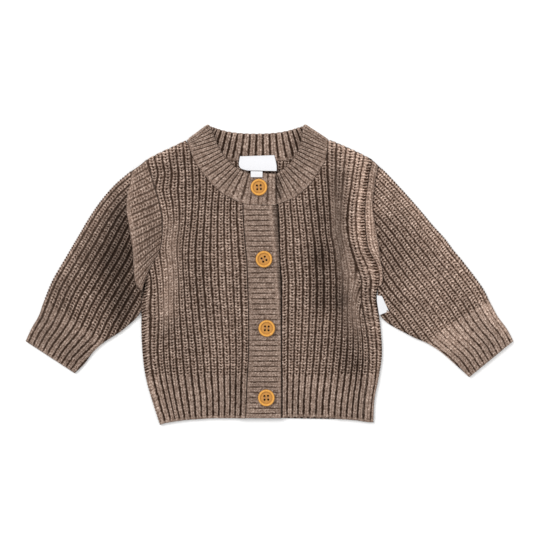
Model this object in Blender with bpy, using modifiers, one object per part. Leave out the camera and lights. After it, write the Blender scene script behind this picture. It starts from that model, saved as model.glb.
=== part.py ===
"""Baby cardigan in a heathered rib knit, laid flat on its back with its front band buttoned.

Lengths in the tables are millimetres.  X runs across the garment (the wearer's right is at -X),
Y runs from hem to neck, Z is up from the surface that the garment lies on.
"""
import math

import bmesh
import bpy
import numpy as np

MM = 0.001                      # metres in a millimetre
NAME = "baby_cardigan"

# Driving dimensions ---------------------------------------------------------------------------
FOOTPRINT_CENTRE_Y = -0.56      # centre of the garment's footprint, on the tables' own Y
SEAM_GAP = 0.6                  # daylight between two sewn pieces
LAYER_GAP = 0.3                 # daylight between cloth that lies on cloth
PANEL_WALL = 2.0                # wall of the wide rib, measured in a groove
PANEL_RELIEF = 1.2              # height of a wide rib over its groove
BAND_WALL = 1.8                 # wall of the fine 1x1 rib, measured in a groove
BAND_RELIEF = 0.9               # height of a fine rib over its groove
BACK_WALL = 2.2                 # the back lies with its ribs pressed flat
HEM_RIB_TOP = -108.0            # height at which the hem rib gives way to the wide rib
HEM_RELIEF = 0.8
FRONT_BASE = BACK_WALL + LAYER_GAP
NECK_BASE = BAND_WALL + BAND_RELIEF + LAYER_GAP + 0.1
OVERLAP_BASE = NECK_BASE + BAND_WALL + LAYER_GAP + 0.4
BAND_RISE = (13.0, 0.5)         # where the right front starts and ends its climb, before the band
FRONT_RIBS = 16                 # ribs across one front at the hem
FLAT_PITCH, FULL_PITCH = 2.0, 6.0       # rib pitches with no relief and with all of it
RIB_ROOM = 0.4                  # least width of a rib, or half rib, squeezed at an edge
EDGE_DROP = 1.0                 # how far an outer edge turns down
RIM_RELIEF = 0.3                # what is left of a rib at a sewn or cut rim
BACK_COLUMNS = 41

BUTTON_DIAMETER = 18.0
BUTTON_THICKNESS = 3.4
BUTTON_HOLE_DIAMETER = 1.8
BUTTON_HOLE_SPACING = 3.6
LABEL_THICKNESS = 0.7

# The wearer's right front.  Each row is one height: the outer edge, then five rib grooves
# counted from the band seam (rib_0) towards the side seam (rib_16).
FRONT_RIGHT_COLUMNS = ("height", "edge", "rib_16", "rib_12", "rib_8", "rib_4", "rib_0")
FRONT_RIGHT = (
    (-162.0, -117.5, -117.5, -95.0, -72.5, -48.5, -26.0),
    (-135.5, -126.0, -126.0, -100.5, -73.5, -48.0, -25.0),
    (-112.0, -132.5, -132.5, -104.5, -76.0, -48.5, -24.0),
    (-87.0, -136.0, -136.0, -107.0, -78.0, -49.0, -22.5),
    (-39.0, -137.0, -137.0, -108.5, -83.0, -52.0, -22.5),
    (-6.5, -132.0, -132.0, -108.0, -85.5, -54.5, -23.5),
    (9.5, -125.5, -137.0, -109.0, -86.5, -55.0, -24.0),
    (26.0, -117.0, -138.0, -111.0, -86.5, -55.5, -25.5),
    (58.0, -114.5, -133.0, -108.5, -83.5, -55.5, -28.0),
    (74.0, -117.0, -137.0, -110.5, -82.5, -55.0, -28.5),
    (90.5, -121.5, -144.5, -114.0, -82.0, -53.5, -28.0),
    (106.5, -126.5, -142.0, -112.0, -82.5, -53.0, -27.5),
    (122.5, -131.5, -146.5, -114.5, -83.5, -52.0, -27.0),
    (145.0, -133.0, -150.0, -117.5, -85.0, -51.0, -27.0),
)
# The wearer's left front, counted the same way from the band's free edge.
FRONT_LEFT_COLUMNS = ("height", "edge", "rib_16", "rib_14", "rib_8", "rib_4", "rib_0")
FRONT_LEFT = (
    (-162.0, 111.5, 111.5, 99.5, 63.0, 36.5, 13.0),
    (-135.5, 112.5, 112.5, 100.5, 64.0, 37.0, 13.0),
    (-112.0, 117.0, 117.0, 104.0, 66.5, 38.5, 13.0),
    (-87.0, 120.5, 120.5, 106.0, 69.0, 40.5, 12.5),
    (-39.0, 117.5, 117.5, 99.5, 72.0, 43.0, 12.5),
    (-6.5, 116.5, 116.5, 97.5, 71.5, 43.5, 12.5),
    (9.5, 115.0, 115.0, 93.0, 70.5, 42.5, 11.0),
    (26.0, 106.0, 106.0, 88.0, 69.0, 41.5, 10.0),
    (42.0, 103.0, 103.0, 84.5, 66.0, 40.0, 10.0),
    (58.0, 102.0, 102.0, 83.5, 65.0, 38.0, 9.8),
    (74.0, 102.0, 102.0, 84.5, 64.0, 36.0, 8.7),
    (90.5, 103.5, 103.5, 86.5, 63.0, 34.5, 8.4),
    (106.5, 109.0, 109.0, 91.0, 62.0, 33.0, 8.1),
    (122.5, 111.0, 111.0, 94.5, 61.5, 31.0, 8.0),
    (145.0, 112.0, 112.0, 95.0, 61.0, 30.0, 8.0),
)
# Hem line from the right side seam to the left one.
HEM_COLUMNS = ("across", "height")
HEM = (
    (-118.0, -162.2), (-113.5, -160.2), (-100.5, -158.0), (-87.5, -156.4), (-62.0, -154.8),
    (11.5, -154.8), (80.0, -155.9), (93.0, -157.0), (106.0, -159.0), (112.0, -159.2),
)
# Shoulder seams from the armhole to the neckband.
SHOULDER_RIGHT = ((-134.0, 121.5), (-120.0, 129.0), (-106.0, 135.5), (-90.2, 143.2))
SHOULDER_LEFT = ((113.5, 120.5), (98.5, 129.0), (84.5, 135.5), (65.0, 143.8))

# Neckband: each row is one rib line, from the free neck edge to the seam edge.
NECKBAND_COLUMNS = ("neck_x", "neck_y", "seam_x", "seam_y")
NECKBAND_RIGHT = (
    (7.5, 107.0, 7.5, 74.2),
    (-8.0, 108.5, -10.0, 74.2),
    (-19.0, 107.5, -25.5, 75.2),
    (-28.5, 110.2, -43.5, 82.2),
    (-34.0, 113.0, -55.5, 90.3),
    (-39.2, 117.2, -63.0, 97.8),
    (-44.6, 122.5, -70.0, 106.4),
    (-49.4, 128.0, -75.8, 114.0),
    (-52.7, 133.3, -80.6, 121.5),
    (-55.4, 138.7, -84.4, 130.0),
    (-57.8, 145.0, -86.7, 136.5),
    (-61.0, 152.5, -87.4, 139.8),
    (-64.1, 158.8, -87.7, 141.4),
)
NECKBAND_BACK = (
    (-64.1, 158.8, -87.7, 141.4),
    (-59.2, 157.2, -75.8, 132.2),
    (-54.3, 155.6, -65.6, 126.0),
    (-44.6, 153.0, -52.1, 122.5),
    (-34.4, 151.6, -40.9, 121.5),
    (-23.1, 150.8, -26.0, 120.9),
    (-11.3, 150.7, -12.0, 120.4),
    (0.5, 151.1, 2.1, 120.9),
    (11.8, 152.3, 17.2, 122.0),
    (22.0, 154.5, 30.1, 124.2),
    (29.6, 156.8, 42.5, 129.0),
    (36.3, 158.8, 62.6, 141.6),
)
NECKBAND_LEFT = (
    (36.3, 158.8, 62.6, 141.6),
    (35.5, 153.0, 62.5, 138.5),
    (34.4, 146.2, 62.2, 134.0),
    (32.8, 138.7, 61.4, 127.9),
    (31.2, 133.3, 59.6, 121.5),
    (28.0, 128.0, 55.4, 114.0),
    (24.7, 122.5, 50.5, 106.0),
    (20.4, 117.2, 45.1, 97.8),
    (15.6, 113.0, 37.1, 89.8),
    (11.3, 110.0, 28.0, 82.8),
    (7.0, 107.5, 18.8, 78.5),
    (-1.6, 106.4, 8.1, 74.9),
    (-12.4, 106.4, -7.0, 74.2),
    (-22.0, 107.0, -21.0, 74.2),
)
NECKBAND_RIBS = {"right": 21, "back": 19, "left": 21}

# Front bands: the right edge of the top band by height, and the run of both bands.
BAND_TOP, BAND_BOTTOM = 73.5, -154.6
BAND_FREE_EDGE = ((-155.0, 12.5), (-60.0, 12.5), (-6.5, 11.5), (47.0, 9.3), (74.0, 7.0))
BAND_RIB_PITCH = 5.6
BAND_RIM = 4.2                  # plain rim along each long edge
PLAIN_BAND_ROWS = 6

# Sleeves: each row is one section, from the outer edge to the end of the upper cloth and on to
# the end of the lower cloth at the armhole, with the rib pitch there.
SLEEVE_COLUMNS = ("edge_x", "edge_y", "upper_x", "upper_y", "lower_x", "lower_y", "pitch")
SLEEVE_RIGHT = (
    (-150.0, 109.6, -140.0, 98.0, -132.6, 121.0, 6.9),
    (-165.0, 96.8, -140.0, 76.5, -124.0, 96.5, 6.9),
    (-176.8, 83.8, -140.0, 56.0, -117.6, 73.0, 6.9),
    (-186.5, 71.0, -140.0, 35.5, -114.9, 50.0, 7.2),
    (-195.0, 58.0, -140.0, 17.0, -117.6, 26.0, 7.5),
    (-202.6, 45.0, -140.0, -1.0, -126.6, 8.5, 7.6),
    (-210.2, 32.2, -137.2, -22.6, -134.0, -14.0, 7.6),
    (-217.7, 19.3, -138.4, -41.0, -137.6, -38.5, 7.6),
    (-232.7, -6.4, -156.4, -59.0, -155.6, -58.4, 7.6),
    (-242.4, -30.0, -178.0, -73.6, -177.2, -73.0, 7.4),
    (-247.8, -45.0, -189.7, -83.8, -188.9, -83.2, 6.7),
    (-255.3, -58.0, -199.4, -96.8, -198.6, -96.2, 6.3),
    (-261.8, -72.0, -209.1, -106.4, -208.3, -105.8, 6.0),
)
SLEEVE_LEFT = (
    (124.2, 109.6, 111.0, 96.0, 113.0, 117.0, 6.9),
    (142.4, 90.3, 107.2, 66.0, 104.5, 84.0, 6.9),
    (159.6, 71.0, 111.5, 33.0, 103.6, 50.0, 6.9),
    (175.8, 51.6, 117.6, 3.0, 107.0, 25.0, 7.2),
    (187.6, 38.7, 119.6, -17.2, 116.6, 4.0, 7.5),
    (197.3, 25.8, 119.6, -39.8, 118.9, -37.0, 7.5),
    (208.0, 12.9, 124.0, -50.3, 123.3, -49.6, 7.5),
    (227.4, -12.9, 152.1, -66.6, 151.3, -66.0, 7.5),
    (236.0, -29.0, 169.3, -74.2, 168.5, -73.6, 7.2),
    (244.6, -45.0, 184.4, -83.8, 183.6, -83.2, 6.6),
    (254.2, -58.0, 199.4, -96.8, 198.6, -96.2, 6.2),
    (261.8, -72.0, 214.5, -110.7, 213.8, -110.1, 6.0),
)
SLEEVE_RIBS = 13
CUFF_ROWS = 3.5                 # rows at the end of each sleeve table that are cuff rib

# Folded sleeve caps: each row is one line from the armhole seam to the folded ridge.
CAP_COLUMNS = ("seam_x", "seam_y", "ridge_x", "ridge_y")
CAP_RIGHT = (
    (-132.2, 121.0, -149.6, 109.2),
    (-129.3, 113.5, -148.2, 101.0),
    (-126.2, 105.0, -149.0, 90.0),
    (-121.4, 87.6, -148.8, 72.0),
    (-117.6, 74.2, -147.8, 57.5),
    (-115.0, 59.0, -146.5, 40.5),
    (-114.7, 47.3, -146.1, 27.0),
    (-116.1, 36.5, -146.1, 14.5),
    (-117.6, 25.8, -146.1, 4.5),
    (-122.8, 15.5, -146.0, -3.0),
    (-127.5, 6.5, -144.5, -9.5),
    (-132.0, -4.0, -140.5, -14.5),
    (-134.0, -14.5, -136.5, -17.8),
)
CAP_LEFT = (
    (112.6, 118.0, 116.6, 115.2),
    (112.4, 112.0, 115.8, 108.5),
    (109.2, 106.0, 114.6, 102.0),
    (105.9, 98.0, 112.9, 94.5),
    (103.4, 89.0, 111.2, 86.5),
    (102.3, 79.0, 109.9, 78.0),
    (101.9, 70.0, 108.9, 70.3),
    (102.2, 60.0, 111.4, 61.0),
    (102.7, 50.0, 113.4, 49.5),
    (103.2, 38.0, 115.9, 38.0),
    (106.3, 27.0, 117.5, 27.0),
    (110.8, 18.0, 118.0, 17.0),
    (114.6, 11.5, 119.2, 9.5),
    (116.6, 2.0, 120.5, 1.0),
    (117.2, -7.0, 120.6, -7.0),
    (117.2, -13.5, 118.6, -11.8),
)
CAP_RIBS = 16
SLEEVE_HOLLOW = 0.4             # daylight inside a flattened sleeve
SLEEVE_TOP = BACK_WALL + SLEEVE_HOLLOW + PANEL_WALL
SLEEVE_EDGE = (1.6, 3.1)        # heights between which a sleeve's outer edge is upright
SLEEVE_EDGE_ROUND = 1.2         # width over which its underside curves up to that edge
CAP_LIFT = SLEEVE_TOP + PANEL_RELIEF + LAYER_GAP - FRONT_BASE

# Buttons: centre, turn about Z in degrees.
BUTTON_COLUMNS = ("across", "height", "turn")
BUTTONS = (
    (-11.3, 92.8, 4.0),
    (-5.9, 15.9, 27.0),
    (-2.9, -58.0, -2.0),
    (-3.4, -132.2, 3.0),
)
# Turned profile of a button from its top centre outwards and down, as shares of the button's
# radius and thickness: a sunk middle inside a raised rim.
BUTTON_PROFILE_COLUMNS = ("radius", "height")
BUTTON_PROFILE = (
    (0.0, 0.56), (0.38, 0.56), (0.58, 0.74), (0.73, 0.85), (0.84, 1.0), (0.94, 0.91), (1.0, 0.65),
    (0.99, 0.26), (0.87, 0.0), (0.0, 0.0),
)
BUTTON_STEPS = 24
BUTTON_HOLE_STEPS = 8

YARN = (0.235, 0.175, 0.140, 1.0)
WOOD = (0.530, 0.270, 0.080, 1.0)
WOVEN_WHITE = (0.800, 0.790, 0.770, 1.0)


# Curves ---------------------------------------------------------------------------------------
def column(table, names, name):
    """One named column of a table."""
    return np.array([row[names.index(name)] for row in table])


def eased(places, values, at):
    """Smooth curve through the values at the given places, read at other places."""
    places, values = np.asarray(places, float), np.asarray(values, float)
    secants = np.diff(values) / np.diff(places)
    slopes = np.concatenate([secants[:1], (secants[:-1] + secants[1:]) / 2, secants[-1:]])
    at = np.clip(at, places[0], places[-1])
    i = np.clip(np.searchsorted(places, at) - 1, 0, len(places) - 2)
    step = places[i + 1] - places[i]
    t = (at - places[i]) / step
    return ((1 + 2 * t) * (1 - t) ** 2 * values[i] + t * (1 - t) ** 2 * step * slopes[i]
            + t * t * (3 - 2 * t) * values[i + 1] + t * t * (t - 1) * step * slopes[i + 1])


def eased_rows(table, at):
    """Rows of a table read at fractional row numbers, on smooth curves."""
    table = np.asarray(table, float)
    places = np.arange(len(table))
    return np.stack([eased(places, table[:, c], at) for c in range(table.shape[1])], axis=-1)


def smooth_step(value, low, high):
    t = np.clip((np.asarray(value, float) - low) / (high - low), 0.0, 1.0)
    return t * t * (3 - 2 * t)


def moved_out(points, distance):
    """An open line of points moved to its left-hand side."""
    points = np.asarray(points, float)
    along = np.gradient(points, axis=0)
    along /= np.linalg.norm(along, axis=1)[:, None]
    return points + distance * np.stack([-along[:, 1], along[:, 0]], axis=1)


# Solids ---------------------------------------------------------------------------------------
def new_object(name, vertices, faces, material):
    """A named object from points in millimetres, with its faces turned outwards."""
    mesh = bpy.data.meshes.new(name)
    centred = np.asarray(vertices) - (0.0, FOOTPRINT_CENTRE_Y, 0.0)
    mesh.from_pydata([tuple(v) for v in centred * MM], [], faces)
    body = bmesh.new()
    body.from_mesh(mesh)
    bmesh.ops.recalc_face_normals(body, faces=body.faces)
    bmesh.ops.triangulate(body, faces=body.faces)
    body.to_mesh(mesh)
    body.free()
    mesh.materials.append(material)
    thing = bpy.data.objects.new(name, mesh)
    bpy.data.collections[NAME].objects.link(thing)
    return thing


def wall_between(name, upper, lower, material):
    """A closed wall between two grids of points that have the same rows and columns."""
    rows, columns = upper.shape[:2]
    count = rows * columns
    vertices = np.concatenate([upper.reshape(count, 3), lower.reshape(count, 3)])
    faces = []
    for r in range(rows - 1):
        for c in range(columns - 1):
            a = r * columns + c
            quad = (a, a + 1, a + 1 + columns, a + columns)
            faces.append(quad)
            faces.append(tuple(count + i for i in reversed(quad)))
    rim = ([c for c in range(columns)]
           + [r * columns + columns - 1 for r in range(1, rows)]
           + [(rows - 1) * columns + c for c in range(columns - 2, -1, -1)]
           + [r * columns for r in range(rows - 2, 0, -1)])
    for a, b in zip(rim, rim[1:] + rim[:1]):
        faces.append((a, a + count, b + count, b))
    return new_object(name, vertices, faces, material)


def tube_of_rings(name, outer, inner, outer_places, inner_places, material):
    """A closed wall between outer rings and inner rings, open at both ends.

    The places, from 0 to 1 round each ring, say which points lie side by side at an end.
    """
    sections, outer_count = outer.shape[:2]
    inner_count = inner.shape[1]
    start = sections * outer_count
    vertices = np.concatenate([outer.reshape(-1, 3), inner.reshape(-1, 3)])
    faces = []
    for first, count in ((0, outer_count), (start, inner_count)):
        for s in range(sections - 1):
            for i in range(count):
                a = first + s * count + i
                b = first + s * count + (i + 1) % count
                faces.append((a, b, b + count, a + count))
    for s in (0, sections - 1):
        outer_ring = [s * outer_count + i for i in range(outer_count)]
        inner_ring = [start + s * inner_count + i for i in range(inner_count)]
        faces.extend(zipped(outer_ring, inner_ring, outer_places[s], inner_places))
    return new_object(name, vertices, faces, material)


def zipped(outer_ring, inner_ring, outer_places, inner_places):
    """Triangles between two closed rings, always stepping on from the point that is behind."""
    outer_places, inner_places = list(outer_places) + [1.0], list(inner_places) + [1.0]
    faces = []
    i = j = 0
    while i < len(outer_ring) or j < len(inner_ring):
        a, b = outer_ring[i % len(outer_ring)], inner_ring[j % len(inner_ring)]
        outer_next = i < len(outer_ring)
        if outer_next and j < len(inner_ring):
            outer_next = outer_places[i + 1] <= inner_places[j + 1]
        if outer_next:
            i += 1
            faces.append((a, outer_ring[i % len(outer_ring)], b))
        else:
            j += 1
            faces.append((a, inner_ring[j % len(inner_ring)], b))
    return faces


# Fronts and back ------------------------------------------------------------------------------
SIDES = {
    "right": (FRONT_RIGHT, FRONT_RIGHT_COLUMNS, SHOULDER_RIGHT, -1.0),
    "left": (FRONT_LEFT, FRONT_LEFT_COLUMNS, SHOULDER_LEFT, 1.0),
}
PANEL_ROWS = (0.0, 0.02, 0.18, 0.22, 0.34, 0.46, 0.57, 0.67, 0.76, 0.84, 0.92, 1.0)


def rib_across(side, rib, height):
    """X of a rib line at a height, held inside the panel's outer edge."""
    table, names, _, outward = SIDES[side]
    knots = [int(n.split("_")[1]) for n in names if n.startswith("rib")][::-1]
    heights = column(table, names, "height")
    lines = [eased(heights, column(table, names, "rib_%d" % k), height) for k in knots]
    natural = outward * eased(knots, lines, rib)
    edge = outward * eased(heights, column(table, names, "edge"), height)
    return outward * min(natural, edge - (FRONT_RIBS - rib) * RIB_ROOM)


def seam_line(part):
    """The seam edge of one part of the neckband, as points from rib to rib."""
    return neckband_rows(part)[:, 2:]


def top_line(*lines):
    """Height of a panel's top edge by X, along the seam lines that bound it."""
    points = sorted(tuple(p) for line in lines for p in line)
    across, height = zip(*points)
    return lambda x: float(np.interp(x, across, height))


def front_top(side):
    """Top edge of a front: the shoulder seam, then the neckline clear of the neckband."""
    neckline = moved_out(seam_line(side), SEAM_GAP)
    shoulder = SIDES[side][2]
    inner_end = max(abs(p[0]) for p in neckline) + SEAM_GAP
    return top_line([p for p in shoulder if abs(p[0]) > inner_end or p == shoulder[-1]], neckline)


def column_run(line_at, top_at):
    """Points up one rib line, from the hem to the top edge."""
    hem_x, hem_y = zip(*HEM)
    bottom = HEM[4][1]
    for _ in range(12):
        bottom = float(np.interp(line_at(bottom), hem_x, hem_y))
    low, high = 0.0, SHOULDER_LEFT[-1][1] + 2.0
    for _ in range(40):
        middle = (low + high) / 2
        if middle < top_at(line_at(middle)):
            low = middle
        else:
            high = middle
    heights = bottom + (low - bottom) * np.array(PANEL_ROWS)
    return np.array([(line_at(h), h) for h in heights])


def side_line(side):
    """Points up the outer edge of the front and back, which are sewn together there."""
    return column_run(lambda h: rib_across(side, FRONT_RIBS, h), front_top(side))


def beyond_side(side, point, gap=SEAM_GAP):
    """A point of the sleeve, kept clear of the outer edge of the body."""
    outward = SIDES[side][3]
    line = side_line(side)
    edge = outward * float(np.interp(point[1], line[:, 1], line[:, 0]))
    return np.array((outward * max(outward * point[0], edge + gap), point[1]))


def front(side, lift, material):
    """One front: the ribs stand up from a plain inside, finer and lower along the hem."""
    top_at = front_top(side)
    outward = SIDES[side][3]
    last = 2 * FRONT_RIBS
    runs = []
    for half in range(last + 1):
        inset = SEAM_GAP * outward if half == 0 else 0.0
        runs.append(column_run(lambda h, rib=half / 2: rib_across(side, rib, h) + inset, top_at))
    pitches = 2 * np.abs(np.gradient(np.array(runs)[:, :, 0], axis=0))
    upper, lower = [], []
    for half, run in enumerate(runs):
        crest = half % 2
        relief = np.where(run[:, 1] < HEM_RIB_TOP, HEM_RELIEF, PANEL_RELIEF)
        relief = relief * smooth_step(pitches[half], FLAT_PITCH, FULL_PITCH)
        relief[0] = relief[-1] = RIM_RELIEF
        base = FRONT_BASE + lift(run[:, 0], run[:, 1])
        turned = EDGE_DROP if half == last else 0.0
        upper.append(np.column_stack([run, base + PANEL_WALL + relief * crest - turned]))
        lower.append(np.column_stack([run, base]))
    return wall_between("front_" + side, np.array(upper), np.array(lower), material)


def back(material):
    """The back: its ribs are pressed flat where the garment lies on it."""
    neckline = moved_out(seam_line("back"), -SEAM_GAP)
    top_at = top_line(SHOULDER_RIGHT, neckline, SHOULDER_LEFT)
    upper = []
    for share in np.linspace(0.0, 1.0, BACK_COLUMNS):
        def line_at(h, share=share):
            right = rib_across("right", FRONT_RIBS, h)
            return right + (rib_across("left", FRONT_RIBS, h) - right) * share

        run = column_run(line_at, top_at)
        upper.append(np.column_stack([run, np.full(len(run), BACK_WALL)]))
    upper = np.array(upper)
    return wall_between("back", upper, upper * (1.0, 1.0, 0.0), material)


def band_rise(x, y):
    """Lift of the right front where it climbs onto the overlap at the centre."""
    seam = band_left_edge(y)
    return (OVERLAP_BASE - FRONT_BASE) * smooth_step(x, seam - BAND_RISE[0], seam - BAND_RISE[1])


def no_rise(x, y):
    return np.zeros_like(x)


# Bands ----------------------------------------------------------------------------------------
def band_left_edge(y):
    return eased(column(FRONT_RIGHT, FRONT_RIGHT_COLUMNS, "height"),
                 column(FRONT_RIGHT, FRONT_RIGHT_COLUMNS, "rib_0"), y)


def band_right_edge(y):
    heights, across = zip(*BAND_FREE_EDGE)
    return eased(heights, across, y)


def front_band(name, left_edge, right_edge, base, relief, material):
    """A straight strip whose ribs run across it, with a plain rim on each long edge."""
    ribs = round((BAND_TOP - BAND_BOTTOM) / BAND_RIB_PITCH) if relief else PLAIN_BAND_ROWS
    upper, lower = [], []
    for half in range(2 * ribs + 1):
        y = BAND_BOTTOM + (BAND_TOP - BAND_BOTTOM) * half / (2 * ribs)
        left, right = float(left_edge(y)), float(right_edge(y))
        across = np.array([left, left + BAND_RIM, right - BAND_RIM, right])
        crest = relief * (half % 2)
        heights = base + BAND_WALL + np.array([RIM_RELIEF, crest, crest, RIM_RELIEF])
        upper.append(np.column_stack([across, np.full(4, y), heights]))
        lower.append(np.column_stack([across, np.full(4, y), np.full(4, base)]))
    return wall_between(name, np.array(upper), np.array(lower), material)


# Neckband -------------------------------------------------------------------------------------
NECKBAND_TABLES = {"right": NECKBAND_RIGHT, "back": NECKBAND_BACK, "left": NECKBAND_LEFT}
ACROSS = (0.0, 0.06, 0.88, 1.0)         # places from the neck edge to the seam edge
ACROSS_RELIEF = (0.5, 1.0, 0.9, 0.0)    # how much of a rib's height stands at each place
FOLD_TURNS = (30.0, 65.0, 100.0, 135.0, 165.0)
FOLD_CORE = 0.15                        # inner radius of the fold at the shoulder
NECK_RISE = (-40.0, -28.0)              # X between which the right end climbs onto the left end
NECK_FADE = (8.0, 13.0)                 # X between which the ribs flatten under the right end


def neckband_rows(part):
    """Rib lines and the lines halfway between them, in one part of the neckband."""
    table = NECKBAND_TABLES[part]
    return eased_rows(table, np.linspace(0, len(table) - 1, 2 * NECKBAND_RIBS[part] + 1))


def neckband_lift(x):
    """Lift of the right end, which lies on the left end at the centre."""
    return (OVERLAP_BASE - NECK_BASE) * smooth_step(x, *NECK_RISE)


def across_band(row, base, direction, radius, relief):
    """Points across the band on one face: out from a base line along a direction."""
    neck, seam = np.array(row[:2]), np.array(row[2:])
    points = []
    for share, part in zip(ACROSS, ACROSS_RELIEF):
        place = np.append(neck + (seam - neck) * share, base)
        points.append(place + np.array(direction) * (radius + relief * part))
    return points


def neckband(material):
    """One strip of fine rib: right front, round the back and left front, folded at the shoulders.

    The outer face is up on the fronts and the inner face is up at the back.
    """
    outer, inner = [], []
    up = (0.0, 0.0, 1.0)
    fold_z = NECK_BASE - FOLD_CORE

    def fold(axis, away, turns):
        for turn in np.radians(turns):
            share = turn / math.pi
            outside = (NECK_BASE + BAND_WALL - fold_z) * (1 - share) + fold_z * share
            inside = FOLD_CORE * (1 - share) + (fold_z - BAND_WALL) * share
            direction = (away[0] * math.sin(turn), away[1] * math.sin(turn), math.cos(turn))
            outer.append(across_band(axis, fold_z, direction, outside, 0.0))
            inner.append(across_band(axis, fold_z, direction, inside, 0.0))

    def fold_side(axis):
        line = axis[:2] - axis[2:]
        away = np.array([-line[1], line[0]]) / np.linalg.norm(line)
        return away * np.sign(away[1])

    for half, row in enumerate(neckband_rows("right")):
        base = NECK_BASE + neckband_lift((row[0] + row[2]) / 2)
        outer.append(across_band(row, base, up, BAND_WALL, BAND_RELIEF * (half % 2)))
        inner.append(across_band(row, base, up, 0.0, 0.0))
    fold(row, fold_side(row), FOLD_TURNS)
    for half, row in enumerate(neckband_rows("back")):
        outer.append(across_band(row, 0.0, up, 0.0, 0.0))
        inner.append(across_band(row, 0.0, up, BAND_WALL, BAND_RELIEF * (half % 2)))
    fold(row, fold_side(row), FOLD_TURNS[::-1])
    for half, row in enumerate(neckband_rows("left")):
        relief = BAND_RELIEF * smooth_step(row[0], *NECK_FADE)
        outer.append(across_band(row, NECK_BASE, up, BAND_WALL, relief * (half % 2)))
        inner.append(across_band(row, NECK_BASE, up, 0.0, 0.0))
    return wall_between("neckband", np.array(outer), np.array(inner), material)


# Sleeves --------------------------------------------------------------------------------------
SLEEVE_STEPS = 15
FIRST_GROOVE = 0.63             # place of the groove nearest a sleeve's outer edge, in ribs
HOLLOW_SHARES = (0.04, 0.35, 0.65, 0.95)
FLANGE_GAP = 1.1                # daylight between a sleeve's lower cloth and the body
CAP_LEFT_STEPS = 27


def sleeve(side, table, material):
    """A flattened tube of ribs, with its lower cloth running on to the armhole."""
    rows = eased_rows(table, np.linspace(0, len(table) - 1, SLEEVE_STEPS))
    cuff_from = len(table) - 1 - CUFF_ROWS
    last = 2 * SLEEVE_RIBS
    outer, inner, outer_places = [], [], []
    for step, row in enumerate(rows):
        place = step * (len(table) - 1) / (SLEEVE_STEPS - 1)
        edge, pitch = row[0:2], row[6]
        upper = beyond_side(side, row[2:4])
        lower = beyond_side(side, row[4:6], FLANGE_GAP)
        relief = HEM_RELIEF if place > cuff_from else PANEL_RELIEF
        if step == SLEEVE_STEPS - 1:
            relief = RIM_RELIEF
        width = np.linalg.norm(upper - edge)
        along = (upper - edge) / width
        ring = [(*edge, SLEEVE_EDGE[1])]
        places = [0.0]
        for half in range(1, last):
            free = FIRST_GROOVE * pitch + (half - 1) / 2 * pitch
            room = width - (last - half) * RIB_ROOM
            crest = (1.0 - half % 2) * smooth_step(room - free, 0.0, pitch)
            ring.append((*(edge + along * min(free, room)), SLEEVE_TOP + relief * crest))
            places.append(0.5 * min(free, room) / width)
        ring.append((*upper, SLEEVE_TOP - EDGE_DROP))
        ring.append((*(upper + (lower - upper) * 0.1), BACK_WALL))
        ring.append((*lower, BACK_WALL - RIM_RELIEF))
        ring.append((*lower, 0.0))
        for share in (0.66, 0.33):
            ring.append((*(edge + (lower - edge) * share), 0.0))
        ring.append((*(edge + along * SLEEVE_EDGE_ROUND), 0.0))
        ring.append((*edge, SLEEVE_EDGE[0]))
        outer.append(ring)
        outer_places.append(places + [0.5, 0.51, 0.52, 0.53, 0.66, 0.83, 0.98, 0.99])
        hollow = []
        for height, shares in ((BACK_WALL + SLEEVE_HOLLOW, HOLLOW_SHARES),
                               (BACK_WALL, HOLLOW_SHARES[::-1])):
            for share in shares:
                hollow.append((*(edge + along * width * share), height))
        inner.append(hollow)
    inner_places = [share / 2 for share in HOLLOW_SHARES]
    inner_places += [1.0 - place for place in reversed(inner_places)]
    return tube_of_rings("sleeve_" + side, np.array(outer), np.array(inner),
                         outer_places, inner_places, material)


def cap_right(material):
    """Cap folded over the sleeve in one broad flap, its ribs running from seam to ridge."""
    rows = eased_rows(CAP_RIGHT, np.linspace(0, len(CAP_RIGHT) - 1, 2 * CAP_RIBS + 1))
    shares = np.array([0.0, 0.2, 0.4, 0.6, 0.8, 0.95, 1.0])
    swell = np.array([0.2, 0.8, 0.8, 0.8, 0.6, 0.2, 0.0])
    base = FRONT_BASE + CAP_LIFT * smooth_step(shares, 0.2, 0.62)
    upper, lower = [], []
    for half, row in enumerate(rows):
        seam, ridge = beyond_side("right", row[:2]), row[2:]
        points = seam + (ridge - seam) * shares[:, None]
        top = base + PANEL_WALL + PANEL_RELIEF * swell * (half % 2)
        top[-1] -= EDGE_DROP
        upper.append(np.column_stack([points, top]))
        lower.append(np.column_stack([points, base]))
    return wall_between("sleeve_cap_right", np.array(upper), np.array(lower), material)


def cap_left(material):
    """Cap folded over the sleeve in a narrow strip, its ribs running along the seam."""
    rows = eased_rows(CAP_LEFT, np.linspace(0, len(CAP_LEFT) - 1, CAP_LEFT_STEPS))
    shares = np.array([0.0, 0.25, 0.5, 0.75, 1.0])
    swell = np.array([0.2, 0.9, 0.1, 0.8, 0.0])
    upper, lower = [], []
    for row in rows:
        seam, ridge = beyond_side("left", row[:2]), row[2:]
        points = seam + (ridge - seam) * shares[:, None]
        base = FRONT_BASE + CAP_LIFT * smooth_step(shares, 0.0, 0.25)
        top = base + PANEL_WALL + PANEL_RELIEF * swell
        top[-1] -= EDGE_DROP
        upper.append(np.column_stack([points, top]))
        lower.append(np.column_stack([points, base]))
    return wall_between("sleeve_cap_left", np.array(upper), np.array(lower), material)


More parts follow.
